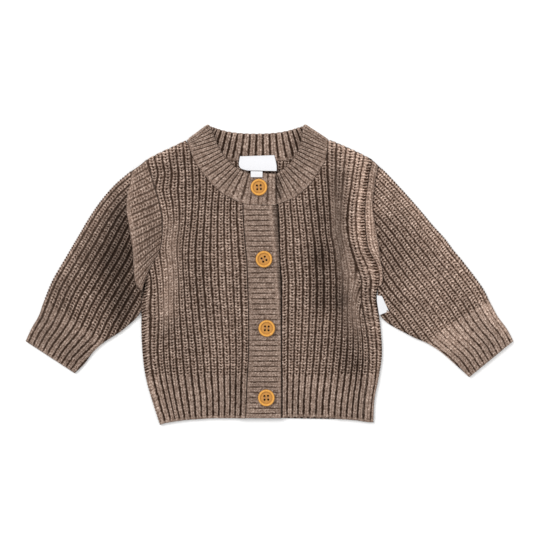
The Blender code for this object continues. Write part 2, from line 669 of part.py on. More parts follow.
# Buttons --------------------------------------------------------------------------------------
def button(name, across, height, turn, foot, material, cutters):
    """A turned wooden disc with a raised rim and four sewing holes."""
    profile = bpy.data.meshes.new(name)
    points = [(radius * BUTTON_DIAMETER / 2 * MM, 0.0, height * BUTTON_THICKNESS * MM)
              for radius, height in BUTTON_PROFILE]
    profile.from_pydata(points, [(i, i + 1) for i in range(len(points) - 1)], [])
    profile.materials.append(material)
    disc = bpy.data.objects.new(name, profile)
    bpy.data.collections[NAME].objects.link(disc)
    disc.location = (across * MM, (height - FOOTPRINT_CENTRE_Y) * MM, foot * MM)
    disc.rotation_euler[2] = math.radians(turn)
    screw = disc.modifiers.new("turned", "SCREW")
    screw.steps = screw.render_steps = BUTTON_STEPS
    screw.use_merge_vertices = True
    screw.merge_threshold = 0.00002
    holes = bmesh.new()
    for sx in (-1, 1):
        for sy in (-1, 1):
            made = bmesh.ops.create_cone(holes, cap_ends=True, segments=BUTTON_HOLE_STEPS,
                                         radius1=BUTTON_HOLE_DIAMETER / 2 * MM,
                                         radius2=BUTTON_HOLE_DIAMETER / 2 * MM,
                                         depth=3 * BUTTON_THICKNESS * MM)
            shift = BUTTON_HOLE_SPACING / 2 * MM
            bmesh.ops.translate(holes, verts=made["verts"], vec=(sx * shift, sy * shift, 0.0))
    mesh = bpy.data.meshes.new(name + "_holes")
    holes.to_mesh(mesh)
    holes.free()
    cutter = bpy.data.objects.new(name + "_holes", mesh)
    cutter.location = disc.location
    cutter.rotation_euler = disc.rotation_euler
    cutter.hide_render = True
    cutter.display_type = "WIRE"
    cutters.objects.link(cutter)
    cut = disc.modifiers.new("sewing_holes", "BOOLEAN")
    cut.operation = "DIFFERENCE"
    cut.object = cutter
    return disc


# Labels ---------------------------------------------------------------------------------------
LABEL_COLUMNS = ("left_x", "right_x", "left_y", "right_y", "underside")
NECK_LABEL = (
    (-31.7, 5.3, 126.4, 127.6, 3.0),
    (-32.6, 6.6, 121.4, 122.6, 3.3),
    (-32.8, 7.6, 116.8, 117.4, 4.6),
    (-30.4, 7.9, 113.0, 113.2, 6.2),
    (-24.0, 7.6, 110.8, 110.2, 7.6),
)
SIZE_TAB = (
    (-20.0, -7.4, 110.1, 109.9, 8.0),
    (-20.1, -7.4, 108.2, 108.0, 8.7),
    (-20.1, -7.4, 106.2, 106.1, 8.7),
    (-20.1, -7.5, 104.4, 104.3, 8.7),
)
SIDE_TAB = (
    (119.4, 120.4, -23.4, -24.0, 6.1),
    (119.4, 124.0, -30.0, -32.0, 6.1),
    (119.4, 128.2, -41.8, -40.2, 6.1),
    (119.2, 121.0, -43.4, -43.2, 6.1),
)


def woven_label(name, table, material):
    """A woven label: rows from its sewn end to its free end."""
    rows = eased_rows(table, np.linspace(0, len(table) - 1, 2 * len(table) - 1))
    share = np.linspace(0.0, 1.0, 4)
    upper, lower = [], []
    for left_x, right_x, left_y, right_y, underside in rows:
        points = np.column_stack([left_x + (right_x - left_x) * share,
                                  left_y + (right_y - left_y) * share,
                                  np.full(len(share), underside)])
        lower.append(points)
        upper.append(points + (0.0, 0.0, LABEL_THICKNESS))
    return wall_between(name, np.array(upper), np.array(lower), material)


# Assembly -------------------------------------------------------------------------------------
def finish(name, colour, roughness):
    material = bpy.data.materials.new(name)
    material.use_nodes = True
    shader = material.node_tree.nodes["Principled BSDF"]
    shader.inputs["Base Color"].default_value = colour
    shader.inputs["Roughness"].default_value = roughness
    shader.inputs["Metallic"].default_value = 0.0
    material.diffuse_color = colour
    return material


def new_collection(name):
    collection = bpy.data.collections.new(name)
    bpy.context.scene.collection.children.link(collection)
    return collection


def main():
    for thing in list(bpy.data.objects):
        bpy.data.objects.remove(thing, do_unlink=True)
    new_collection(NAME)
    cutters = new_collection("cutters")

    back(finish("back_knit", YARN, 0.95))
    front("right", band_rise, finish("front_right_knit", YARN, 0.95))
    front("left", no_rise, finish("front_left_knit", YARN, 0.95))
    sleeve("right", SLEEVE_RIGHT, finish("sleeve_right_knit", YARN, 0.95))
    sleeve("left", SLEEVE_LEFT, finish("sleeve_left_knit", YARN, 0.95))
    cap_right(finish("sleeve_cap_right_knit", YARN, 0.95))
    cap_left(finish("sleeve_cap_left_knit", YARN, 0.95))
    neckband(finish("neckband_rib", YARN, 0.95))
    front_band("buttonhole_band", lambda y: band_left_edge(y) + SEAM_GAP, band_right_edge,
               OVERLAP_BASE, BAND_RELIEF, finish("buttonhole_band_rib", YARN, 0.95))
    front_band("button_band", lambda y: band_left_edge(y) + 4.0,
               lambda y: band_right_edge(y) - SEAM_GAP, FRONT_BASE, 0.0,
               finish("button_band_rib", YARN, 0.95))
    foot = OVERLAP_BASE + BAND_WALL + BAND_RELIEF + LAYER_GAP
    for i, (across, height, turn) in enumerate(BUTTONS, start=1):
        button("button_%d" % i, across, height, turn, foot,
               finish("button_%d_wood" % i, WOOD, 0.45), cutters)
    woven_label("neck_label", NECK_LABEL, finish("neck_label_satin", WOVEN_WHITE, 0.5))
    woven_label("size_tab", SIZE_TAB, finish("size_tab_satin", WOVEN_WHITE, 0.5))
    woven_label("side_tab", SIDE_TAB, finish("side_tab_satin", WOVEN_WHITE, 0.5))


main()
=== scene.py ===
"""Baby cardigan in a heathered rib knit, laid flat and buttoned.

Each cloth piece is a thin closed shell on its solid's form.  Its knit is worked out stitch by
stitch from rib and row numbers.  Tables are in millimetres, as the garment is measured: X across,
Y from hem to neck, Z up from the surface that it lies on.
"""
import math

import bmesh
import bpy
import numpy as np
from bpy.props import FloatProperty, FloatVectorProperty, PointerProperty
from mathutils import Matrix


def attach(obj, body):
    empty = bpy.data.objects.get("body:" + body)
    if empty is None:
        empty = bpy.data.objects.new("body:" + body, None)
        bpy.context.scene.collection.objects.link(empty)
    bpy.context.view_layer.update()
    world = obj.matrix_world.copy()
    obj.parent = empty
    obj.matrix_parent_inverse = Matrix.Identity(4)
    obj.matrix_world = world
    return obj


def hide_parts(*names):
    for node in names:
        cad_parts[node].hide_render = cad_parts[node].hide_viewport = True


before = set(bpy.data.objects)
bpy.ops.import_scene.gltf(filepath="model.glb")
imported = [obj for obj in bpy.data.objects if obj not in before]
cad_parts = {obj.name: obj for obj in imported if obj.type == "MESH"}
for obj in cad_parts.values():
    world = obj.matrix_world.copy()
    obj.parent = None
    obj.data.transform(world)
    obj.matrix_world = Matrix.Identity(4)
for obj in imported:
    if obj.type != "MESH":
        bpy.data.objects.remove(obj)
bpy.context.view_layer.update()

bl_info = {
    "name": "Baby Cardigan",
    "version": (1, 0, 0),
    "blender": (4, 5, 0),
    "location": "View3D > Sidebar > Cardigan",
    "description": "Knits, sews and buttons a baby cardigan that lies flat",
    "category": "Add Mesh",
}

MM = 0.001
BODY = "root"

# The garment's measures -----------------------------------------------------------------------
FOOTPRINT_CENTRE_Y = -0.56      # centre of the garment's footprint, on the tables' own Y
LAYER_GAP = 0.3                 # daylight between cloth that lies on cloth
PANEL_GROOVE = 1.3              # wall of the wide rib in a groove
BAND_GROOVE = 1.2               # wall of the fine rib in a groove
BACK_WALL = 2.2                 # the back lies with its ribs pressed flat
PRESSED_RIB = 0.9               # height of a rib that lies face down
HEM_RIB_TOP = -108.0            # height at which the hem rib gives way to the wide rib
HEM_RIB_BLEND = 1.2             # half the height over which it does
FRONT_BASE = BACK_WALL + LAYER_GAP
NECK_BASE = 3.1                 # underside of the neckband in front
OVERLAP_BASE = 5.6              # underside of what laps over the left front
SLEEVE_BASE = 2.6               # underside of a flattened sleeve's upper cloth
SLEEVE_EDGE = 2.4               # height at which its two layers meet at the outer edge
CAP_LIFT = 3.6                  # how far a cap climbs to lie on its sleeve
FRONT_RIBS = 16
BACK_RIBS = 33
SLEEVE_RIBS = 15                # the most ribs across a sleeve
BAND_RISE = (13.0, 0.5)         # where the right front starts and ends its climb, before the band

# Fronts: each row is one height, then X of the outer edge and of rib grooves, which are numbered
# from the front band.
FRONT_RIGHT_COLUMNS = ("height", "edge", "rib_16", "rib_14", "rib_12", "rib_8", "rib_4", "rib_0")
FRONT_RIGHT = (
    (-162.0, -117.5, -117.5, -104.8, -95.0, -72.5, -48.5, -26.0),
    (-135.5, -126.0, -126.0, -111.0, -100.5, -73.5, -48.0, -25.0),
    (-112.0, -132.5, -132.5, -116.4, -104.5, -76.0, -48.5, -24.0),
    (-87.0, -136.0, -136.0, -119.4, -107.0, -78.0, -49.0, -22.5),
    (-39.0, -137.0, -137.0, -118.2, -108.0, -83.0, -52.0, -22.5),
    (-6.5, -132.0, -132.0, -119.8, -108.0, -85.5, -54.5, -23.5),
    (9.5, -125.5, -137.0, -122.8, -109.0, -86.5, -55.0, -24.0),
    (26.0, -117.0, -138.0, -124.3, -111.0, -86.5, -55.5, -25.5),
    (58.0, -114.5, -133.0, -120.6, -108.5, -83.5, -55.5, -28.0),
    (74.0, -117.0, -137.0, -123.6, -110.5, -82.5, -55.0, -28.5),
    (90.5, -121.5, -144.5, -129.2, -114.0, -82.0, -53.5, -28.0),
    (106.5, -126.5, -142.0, -127.0, -112.0, -82.5, -53.0, -27.5),
    (122.5, -131.5, -146.5, -130.6, -114.5, -83.5, -52.0, -27.0),
    (145.0, -133.0, -150.0, -133.8, -117.5, -85.0, -51.0, -27.0),
)
FRONT_LEFT_COLUMNS = ("height", "edge", "rib_16", "rib_15", "rib_14", "rib_11", "rib_8", "rib_4",
                      "rib_0")
FRONT_LEFT = (
    (-162.0, 111.5, 111.5, 108.0, 100.2, 81.9, 63.0, 36.5, 13.0),
    (-135.5, 112.5, 112.5, 110.0, 101.8, 83.9, 64.0, 37.0, 13.0),
    (-112.0, 117.0, 117.0, 113.5, 104.8, 87.0, 66.5, 38.5, 13.0),
    (-87.0, 120.5, 120.5, 115.0, 106.2, 89.4, 69.0, 40.5, 12.5),
    (-60.0, 119.3, 119.3, 113.4, 104.0, 89.6, 71.0, 42.0, 12.5),
    (-39.0, 116.6, 116.6, 110.2, 99.8, 87.0, 72.0, 43.0, 12.5),
    (-25.0, 114.6, 114.6, 108.0, 98.2, 85.2, 71.8, 43.3, 12.5),
    (-6.5, 117.0, 117.0, 107.8, 97.5, 83.6, 71.5, 43.5, 12.5),
    (9.5, 115.0, 115.0, 103.1, 93.0, 80.2, 70.5, 42.5, 11.0),
    (26.0, 106.0, 106.0, 96.3, 88.0, 77.7, 69.0, 41.5, 10.0),
    (42.0, 103.0, 103.0, 93.0, 84.5, 74.2, 66.0, 40.0, 10.0),
    (58.0, 102.0, 102.0, 92.0, 83.5, 73.3, 65.0, 38.0, 9.8),
    (74.0, 102.0, 102.0, 92.6, 84.5, 73.6, 64.0, 36.0, 8.7),
    (90.5, 104.3, 104.3, 95.1, 87.0, 74.4, 63.0, 34.5, 8.4),
    (106.5, 106.2, 106.2, 97.1, 89.0, 75.0, 62.0, 33.0, 8.1),
    (122.5, 110.0, 110.0, 100.2, 91.5, 75.9, 61.5, 31.0, 8.0),
    (145.0, 112.0, 112.0, 103.2, 95.0, 77.7, 61.0, 30.0, 8.0),
)
# Hem line from the right side seam to the left one: X and height.
HEM = (
    (-118.0, -162.2), (-113.5, -160.2), (-100.5, -158.0), (-87.5, -156.4), (-62.0, -154.8),
    (11.5, -154.8), (80.0, -155.9), (93.0, -157.0), (106.0, -159.0), (112.0, -159.2),
)
# Shoulder seams from the armhole to the neckband: X and height.
SHOULDER_RIGHT = ((-134.0, 121.5), (-120.0, 129.0), (-106.0, 135.5), (-90.2, 143.2))
SHOULDER_LEFT = ((113.5, 120.5), (98.5, 129.0), (84.5, 135.5), (65.0, 143.8))
# Neckband: each row is a line across it, as X and Y at the free neck edge and at the seam.
NECKBAND_RIGHT = (
    (7.5, 107.0, 7.5, 74.2),
    (-8.0, 108.5, -10.0, 74.2),
    (-19.0, 107.5, -25.5, 75.2),
    (-28.5, 110.2, -43.5, 82.2),
    (-34.0, 113.0, -55.5, 90.3),
    (-39.2, 117.2, -63.0, 97.8),
    (-44.6, 122.5, -70.0, 106.4),
    (-49.4, 128.0, -75.8, 114.0),
    (-52.7, 133.3, -80.6, 121.5),
    (-55.4, 138.7, -84.4, 130.0),
    (-57.8, 145.0, -86.7, 136.5),
    (-61.0, 152.5, -87.4, 139.8),
    (-64.1, 158.8, -87.7, 141.4),
)
NECKBAND_BACK = (
    (-64.1, 158.8, -87.7, 141.4),
    (-59.2, 157.2, -75.8, 132.2),
    (-54.3, 155.6, -65.6, 126.0),
    (-44.6, 153.0, -52.1, 122.5),
    (-34.4, 151.6, -40.9, 121.5),
    (-23.1, 150.8, -26.0, 120.9),
    (-11.3, 150.7, -12.0, 120.4),
    (0.5, 151.1, 2.1, 120.9),
    (11.8, 152.3, 17.2, 122.0),
    (22.0, 154.5, 30.1, 124.2),
    (29.6, 156.8, 42.5, 129.0),
    (36.3, 158.8, 62.6, 141.6),
)
NECKBAND_LEFT = (
    (36.3, 158.8, 62.6, 141.6),
    (35.5, 153.0, 62.5, 138.5),
    (34.4, 146.2, 62.2, 134.0),
    (32.8, 138.7, 61.4, 127.9),
    (31.2, 133.3, 59.6, 121.5),
    (28.0, 128.0, 55.4, 114.0),
    (24.7, 122.5, 50.5, 106.0),
    (20.4, 117.2, 45.1, 97.8),
    (15.6, 113.0, 37.1, 89.8),
    (11.3, 110.0, 28.0, 82.8),
    (7.0, 107.5, 18.8, 78.5),
    (-1.6, 106.4, 8.1, 74.9),
    (-12.4, 106.4, -7.0, 74.2),
    (-22.0, 107.0, -21.0, 74.2),
)
NECKBAND_TABLES = {"right": NECKBAND_RIGHT, "back": NECKBAND_BACK, "left": NECKBAND_LEFT}
NECKBAND_RIBS = {"right": 21, "back": 19, "left": 21}
NECK_RISE = (-40.0, -28.0)      # X between which its right end climbs over the left end
NECK_FADE = (8.0, 13.0)         # X over which the left end's ribs rise; under the right end it is flat
BAND_TOP, BAND_BOTTOM = 74.05, -154.6
# Front bands: height and X of the buttonhole band's free edge.
BAND_FREE_EDGE = ((-155.0, 12.5), (-60.0, 12.5), (-6.5, 11.5), (47.0, 9.3), (74.0, 7.0))
BAND_RIBS = 41
BAND_RIB_PITCH = 5.6
EDGE_STITCH = 2.6               # length of one stitch along a band's edge
# X and rise of their top edge.
BAND_CORNER = ((-29.0, 2.4), (-25.5, 1.1), (-18.0, 0.4), (-8.0, 0.0))
# Height and width of the strip along the free edge that is turned down; it is lowered and painted in
# shadow.
BAND_TURNED = ((-90.0, 0.3), (-50.0, 1.0), (0.0, 3.5), (74.0, 5.2))
# Sleeves: each row is one section, as X and Y of the outer edge and of the other end of the
# upper and of the lower cloth, then the rib pitch there.
SLEEVE_RIGHT = (
    (-150.0, 109.6, -140.0, 98.0, -132.6, 121.0, 6.9),
    (-165.0, 96.8, -140.0, 76.5, -124.0, 96.5, 6.9),
    (-176.8, 83.8, -140.0, 56.0, -117.6, 73.0, 6.9),
    (-186.5, 71.0, -140.0, 35.5, -114.9, 50.0, 7.2),
    (-195.0, 58.0, -140.0, 17.0, -117.6, 26.0, 7.5),
    (-202.6, 45.0, -140.0, -1.0, -126.6, 8.5, 7.6),
    (-210.2, 32.2, -137.2, -22.6, -134.0, -14.0, 7.6),
    (-217.7, 19.3, -138.4, -41.0, -137.6, -38.5, 7.6),
    (-232.7, -6.4, -156.4, -59.0, -155.6, -58.4, 7.6),
    (-242.4, -30.0, -178.0, -73.6, -177.2, -73.0, 7.4),
    (-247.8, -45.0, -189.7, -83.8, -188.9, -83.2, 6.7),
    (-255.3, -58.0, -199.4, -96.8, -198.6, -96.2, 6.3),
    (-261.8, -72.0, -209.1, -106.4, -208.3, -105.8, 6.0),
)
SLEEVE_LEFT = (
    (117.4, 114.7, 114.2, 111.0, 113.4, 117.2, 6.9),
    (124.2, 109.6, 111.0, 96.0, 113.0, 117.0, 6.9),
    (142.4, 90.3, 107.2, 66.0, 104.5, 84.0, 6.9),
    (159.6, 71.0, 111.5, 33.0, 103.6, 50.0, 6.9),
    (175.8, 51.6, 117.6, 3.0, 107.0, 25.0, 7.2),
    (187.6, 38.7, 116.2, -17.5, 116.6, 4.0, 7.5),
    (197.3, 25.8, 119.0, -39.8, 116.8, -31.0, 7.5),
    (208.0, 12.9, 124.0, -50.3, 123.3, -49.6, 7.5),
    (227.4, -12.9, 152.1, -66.6, 151.3, -66.0, 7.5),
    (236.0, -29.0, 169.3, -74.2, 168.5, -73.6, 7.2),
    (244.6, -45.0, 184.4, -83.8, 183.6, -83.2, 6.6),
    (254.2, -58.0, 199.4, -96.8, 198.6, -96.2, 6.2),
    (261.8, -72.0, 214.5, -110.7, 213.8, -110.1, 6.0),
)
CUFF_ROWS = 3.1                 # rows at the end of each sleeve table that are cuff rib
FIRST_GROOVE = 0.63             # first groove from a sleeve's outer edge, in rib pitches
# Folded sleeve caps: each row is one line, as X and Y at the armhole seam and at the ridge.
CAP_RIGHT = (
    (-132.2, 122.6, -147.3, 109.1),
    (-127.4, 109.7, -148.9, 96.8),
    (-124.7, 101.1, -152.1, 86.0),
    (-122.0, 90.3, -153.2, 75.3),
    (-119.3, 81.7, -153.2, 65.6),
    (-117.2, 73.1, -151.6, 57.0),
    (-115.6, 64.5, -150.0, 48.4),
    (-114.2, 55.9, -148.4, 38.7),
    (-114.0, 46.2, -146.7, 26.9),
    (-115.0, 35.5, -145.7, 10.8),
    (-117.2, 25.8, -145.1, -2.2),
    (-120.9, 18.8, -143.0, -11.3),
    (-124.7, 11.8, -139.2, -16.1),
    (-130.1, -3.2, -136.5, -18.3),
)
CAP_LEFT = (
    (110.3, 121.8, 116.4, 116.0),
    (108.2, 114.0, 115.0, 110.0),
    (106.4, 106.0, 113.4, 102.5),
    (105.2, 98.0, 112.4, 94.5),
    (103.4, 89.0, 111.2, 86.5),
    (102.3, 79.0, 110.4, 78.0),
    (101.9, 70.0, 110.2, 70.3),
    (102.2, 60.0, 112.0, 61.0),
    (102.7, 50.0, 113.6, 49.5),
    (103.2, 38.0, 115.9, 38.0),
    (106.3, 27.0, 117.5, 27.0),
    (110.8, 18.0, 118.4, 17.0),
    (114.6, 11.5, 119.8, 9.5),
    (116.6, 2.0, 121.0, 1.0),
    (117.2, -7.0, 121.0, -7.0),
    (117.2, -13.5, 119.6, -11.8),
)
CAP_RIBS = 16
CAP_LEFT_LENGTH = 134.0
CAP_LEFT_PITCH = 6.6
# Buttons from the neck down: X, Y and the turn of the holes in degrees.
BUTTONS = (
    (-11.3, 92.8, 4.0),
    (-5.9, 15.9, 27.0),
    (-2.9, -58.0, -2.0),
    (-3.4, -132.2, 3.0),
)
# Woven labels, row by row from the sewn end: left X, right X, left Y, right Y and underside.
NECK_LABEL = (
    (-31.7, 5.3, 126.4, 127.6, 3.0),
    (-32.6, 6.6, 121.4, 122.6, 3.3),
    (-32.8, 7.6, 116.8, 117.4, 4.6),
    (-30.4, 7.9, 113.0, 113.2, 6.2),
    (-24.0, 7.6, 110.8, 110.2, 7.6),
)
SIZE_TAB = (
    (-20.0, -7.4, 110.1, 109.9, 8.0),
    (-20.1, -7.4, 108.2, 108.0, 8.7),
    (-20.1, -7.4, 106.2, 106.1, 8.7),
    (-20.1, -7.5, 103.5, 103.4, 8.7),
)
SIDE_TAB = (
    (114.9, 120.3, -22.6, -23.4, 6.6),
    (115.1, 122.9, -29.5, -28.9, 6.6),
    (116.2, 125.4, -36.8, -34.4, 6.6),
    (117.4, 128.0, -44.2, -40.0, 6.6),
)

# Soft folds and painted shade in each piece: ends, half-width and how far they sink (or stand up,
# below zero).
# Above zero the amount paints shade, below zero light; on the fronts and sleeves it also shapes the
# cloth, on the caps and the neckband it is only painted.
FOLDS_AND_SHADE = {
    "front_right": (
        (-72.0, 40.0, -78.0, -30.0, 9.0, 0.25),
        (-112.0, 70.0, -112.0, -40.0, 10.0, -0.50),
        (-132.0, -60.0, -126.0, -140.0, 10.0, -0.10),
        (-60.0, -60.0, -60.0, -100.0, 12.0, -0.30),
        (-48.0, 60.0, -40.0, -90.0, 13.0, -0.40),
        (-134.0, 121.0, -92.0, 141.0, 7.0, -1.00),
        (-31.0, -118.0, -31.0, -155.0, 8.0, 0.35),
    ),
    "front_left": (
        (52.0, 72.0, 54.0, 20.0, 10.0, 0.50),
        (54.0, 20.0, 55.0, -30.0, 11.0, 1.00),
        (74.0, 105.0, 76.0, -30.0, 9.0, 0.95),
        (76.0, -30.0, 86.0, -96.0, 13.0, 0.60),
        (110.0, 122.0, 68.0, 142.0, 7.0, -1.00),
        (97.0, -96.0, 99.0, -150.0, 9.0, 0.35),
        (84.0, 130.0, 96.0, 95.0, 14.0, -0.60),
        (98.0, 118.0, 97.0, 45.0, 11.0, -1.60),
        (97.0, 45.0, 110.0, 5.0, 10.0, -1.30),
        (117.0, 5.0, 119.0, -60.0, 8.0, -1.00),
        (119.0, -60.0, 114.0, -150.0, 9.0, -0.50),
        (32.0, -55.0, 32.0, -100.0, 12.0, -0.50),
        (30.0, 85.0, 32.0, 5.0, 11.0, -0.30),
    ),
    "sleeve_right": (
        (-160.0, 85.0, -160.0, 53.0, 10.0, 0.60),
        (-160.0, 53.0, -162.0, 15.0, 20.0, 1.10),
        (-162.0, 15.0, -166.0, -20.0, 22.0, 1.05),
        (-145.0, 113.0, -222.0, 12.0, 9.0, -0.50),
        (-150.0, -25.0, -160.0, -50.0, 14.0, 1.00),
        (-195.0, 40.0, -220.0, -30.0, 20.0, 0.40),
        (-245.0, -55.0, -205.0, -88.0, 22.0, 0.60),
    ),
    "sleeve_left": (
        (120.0, 105.0, 124.0, 72.0, 12.0, -1.20),
        (150.0, 75.0, 215.0, -20.0, 30.0, -0.65),
        (124.0, 110.0, 252.0, -60.0, 9.0, -1.00),
        (160.0, -10.0, 190.0, -55.0, 24.0, -0.70),
        (145.0, -45.0, 205.0, -78.0, 14.0, -0.55),
    ),
    "cap_right": (
        (-148.0, 95.0, -147.0, 0.0, 8.0, -0.25),
        (-140.0, 115.0, -138.0, 90.0, 10.0, -0.50),
        (-124.0, 90.0, -120.0, 20.0, 7.0, 0.10),
    ),
    "cap_left": (
        (106.0, 110.0, 106.0, 60.0, 12.0, -1.30),
        (106.0, 60.0, 118.0, -10.0, 12.0, -1.80),
    ),
    "neckband": (
        # Painted shade on the back beside the inner edges of the front parts.
        (-60.0, 150.0, -30.0, 126.0, 8.0, 0.60),
        (32.0, 150.0, 24.0, 128.0, 7.0, 0.55),
        # Painted shadow where the right end lies over the left end.
        (9.5, 102.0, 11.5, 84.0, 3.5, 1.30),
        (-46.0, 100.0, -60.0, 120.0, 12.0, 0.25),
    ),
}
FOLD_DEPTH = 2.0                # how far level cloth stands over a fully sunk fold
RIB_WANDER = 0.035              # how far at most a rib wanders sideways, in ribs

COLUMNS_PER_RIB = 10
HIDDEN_COLUMNS_PER_RIB = 5      # on cloth that is hidden underneath
ROWS_PER_STITCH = 4


# Curves ---------------------------------------------------------------------------------------
def column(table, names, name):
    """One named column of a table."""
    return np.array([row[names.index(name)] for row in table])


def eased(places, values, at):
    """Smooth curve through the values at the given places, read at other places."""
    places, values = np.asarray(places, float), np.asarray(values, float)
    secants = ((values[1:] - values[:-1]).T / np.diff(places)).T
    slopes = np.concatenate([secants[:1], (secants[:-1] + secants[1:]) / 2, secants[-1:]])
    at = np.clip(at, places[0], places[-1])
    i = np.clip(np.searchsorted(places, at) - 1, 0, len(places) - 2)
    step = places[i + 1] - places[i]
    t = (at - places[i]) / step
    return ((1 + 2 * t) * (1 - t) ** 2 * values[i] + t * (1 - t) ** 2 * step * slopes[i]
            + t * t * (3 - 2 * t) * values[i + 1] + t * t * (t - 1) * step * slopes[i + 1])


def eased_rows(table, at):
    """Rows of a table, read at places between its own rows too."""
    table = np.asarray(table, float)
    places = np.arange(len(table))
    return np.stack([eased(places, table[:, c], at) for c in range(table.shape[1])], axis=-1)


def smooth_step(value, low, high):
    """Share from 0 at low to 1 at high, with soft ends."""
    t = np.clip((np.asarray(value, float) - low) / (high - low), 0.0, 1.0)
    return t * t * (3 - 2 * t)


def mixed(low, high, share):
    """Value that lies at a share of the way from low to high."""
    return low + (high - low) * share


def rounded(distance, radius):
    """Share of a wall's height that stands at a distance from its rounded edge."""
    t = 1.0 - np.clip(np.asarray(distance, float) / radius, 0.0, 1.0)
    return np.sqrt(1.0 - t * t)


def edged(height, low, distance, radius):
    """Height that falls to low in a rounded edge."""
    return mixed(low, height, rounded(distance, radius))


def spread(values, grid):
    """Values repeated over the whole of a grid."""
    return values + np.zeros(np.shape(grid))


def line_lengths(lines):
    """Length of each line, which is a row that starts with the X and Y of both ends."""
    return np.hypot(lines[:, 2] - lines[:, 0], lines[:, 3] - lines[:, 1])[:, None]


def walked_along(table):
    """Places in a table of line ends, and how far the lines' middles have come by each."""
    places = np.linspace(0, len(table) - 1, 600)
    fine = eased_rows(table, places)
    middle = (fine[:, 0:2] + fine[:, 2:4]) / 2
    return places, np.concatenate([[0], np.cumsum(np.hypot(*np.diff(middle, axis=0).T))])


# Knit -----------------------------------------------------------------------------------------
def wide_rib(rib, row):
    """Relief of the wide rib: two rows of beads, a line of small holes between, narrow grooves."""
    across = np.abs(rib - np.round(rib))
    wall = smooth_step(across, 0.0, 0.20)
    bead = 0.5 + 0.5 * np.cos(2 * math.pi * (row - 0.5 - 0.8 * (0.5 - across)))
    hole = np.exp(-((0.5 - across) / 0.10) ** 2) * (0.5 + 0.5 * np.cos(2 * math.pi * row))
    return np.clip(wall * (0.76 + 0.24 * bead) - 0.45 * hole, 0.0, 1.0)


def fine_rib(rib, row, narrow=0.0):
    """Relief of a 1x1 rib: each rib is one column of V stitches, with a groove beside it."""
    across = np.abs(rib - np.round(rib)) + narrow
    wall = smooth_step(across, 0.06, 0.28)
    leg = 0.5 + 0.5 * np.cos(2 * math.pi * (row + 1.1 * across))
    middle = np.exp(-((0.5 + narrow - across) / 0.07) ** 2)
    return np.clip(wall * (0.86 + 0.14 * leg) - 0.18 * middle, 0.0, 1.0)


def without_first_groove(rib):
    """Rib numbers in which the seam's own groove is left out."""
    return np.where(rib < 1.0, 0.24 + 0.76 * rib, rib)


def uneven(rib, row, seed):
    """Slow unevenness from hand and machine: a smooth wander over ribs and rows, within one."""
    rng = np.random.default_rng(seed)
    total = np.zeros(np.broadcast(rib, row).shape)
    for _ in range(5):
        a, b, phase = rng.uniform(0.15, 0.9), rng.uniform(0.03, 0.16), rng.uniform(0, 6.28)
        total += np.sin(a * rib + b * row * rng.choice([-1, 1]) + phase)
    return total / 5


def sunk(piece, x, y):
    """Painted shade (above zero) and light (below) at each place, and how far it sinks in folds."""
    total = np.zeros(np.broadcast(x, y).shape)
    for x0, y0, x1, y1, half_width, amount in FOLDS_AND_SHADE[piece]:
        along = np.clip(((x - x0) * (x1 - x0) + (y - y0) * (y1 - y0))
                        / ((x1 - x0) ** 2 + (y1 - y0) ** 2), 0.0, 1.0)
        away = np.hypot(x - mixed(x0, x1, along), y - mixed(y0, y1, along))
        total += amount * np.exp(-(away / half_width) ** 2)
    return np.clip(total, -2.0, 1.6)


# The last of these is the painted shade and light of the folds.
FORM_NAMES = ("fine_rib", "rib_strength", "sunk")


# Meshes ---------------------------------------------------------------------------------------
def grid_faces(index):
    """Faces of a grid of point numbers in which runs of points may have closed up."""
    a, b, c, d = index[:-1, :-1], index[1:, :-1], index[1:, 1:], index[:-1, 1:]
    a, b, c, d = (part.ravel() for part in (a, b, c, d))
    near, far = a == d, b == c
    quads = np.stack([a, b, c, d], axis=1)[~near & ~far].tolist()
    first = np.stack([a, b, c], axis=1)[near & ~far].tolist()
    second = np.stack([a, b, d], axis=1)[far & ~near].tolist()
    return quads + first + second


def turned_over(faces):
    """The same faces, seen from behind."""
    return [face[::-1] for face in faces]


def new_object(name, data):
    """An object in the scene that shows a mesh, lamp or camera."""
    made = bpy.data.objects.new(name, data)
    bpy.context.scene.collection.objects.link(made)
    return made


def set_point_values(mesh, label, values):
    """A value at each point of a mesh, for its material."""
    attribute = mesh.attributes.new(label, "FLOAT", "POINT")
    attribute.data.foreach_set("value", np.ascontiguousarray(values, np.float32))


def make_piece(name, points, knit, form, faces, material, node):
    """A mesh in the garment's place, with its rib and row numbers as a UV map.

    form holds, at each point, how far the rib is the fine one, how strongly it stands out, and
    the painted shade of the cloth's folds, which darkens it above zero and lightens it below.
    """
    points = (np.asarray(points) - (0.0, FOOTPRINT_CENTRE_Y, 0.0)) * MM
    mesh = bpy.data.meshes.new(name)
    mesh.from_pydata(points.tolist(), [], faces)
    corners = np.empty(len(mesh.loops), np.int32)
    mesh.loops.foreach_get("vertex_index", corners)
    layer = mesh.uv_layers.new(name="knit")
    layer.data.foreach_set("uv", np.asarray(knit, np.float32)[corners].ravel())
    for label, values in zip(FORM_NAMES, np.asarray(form, np.float32).T):
        set_point_values(mesh, label, values)
    work = bmesh.new()
    work.from_mesh(mesh)
    if work.calc_volume(signed=True) < 0:
        bmesh.ops.reverse_faces(work, faces=work.faces)
    work.to_mesh(mesh)
    work.free()
    mesh.shade_smooth()
    mesh.materials.append(material)
    piece = new_object(name, mesh)
    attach(piece, BODY)
    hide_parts(node)
    return piece


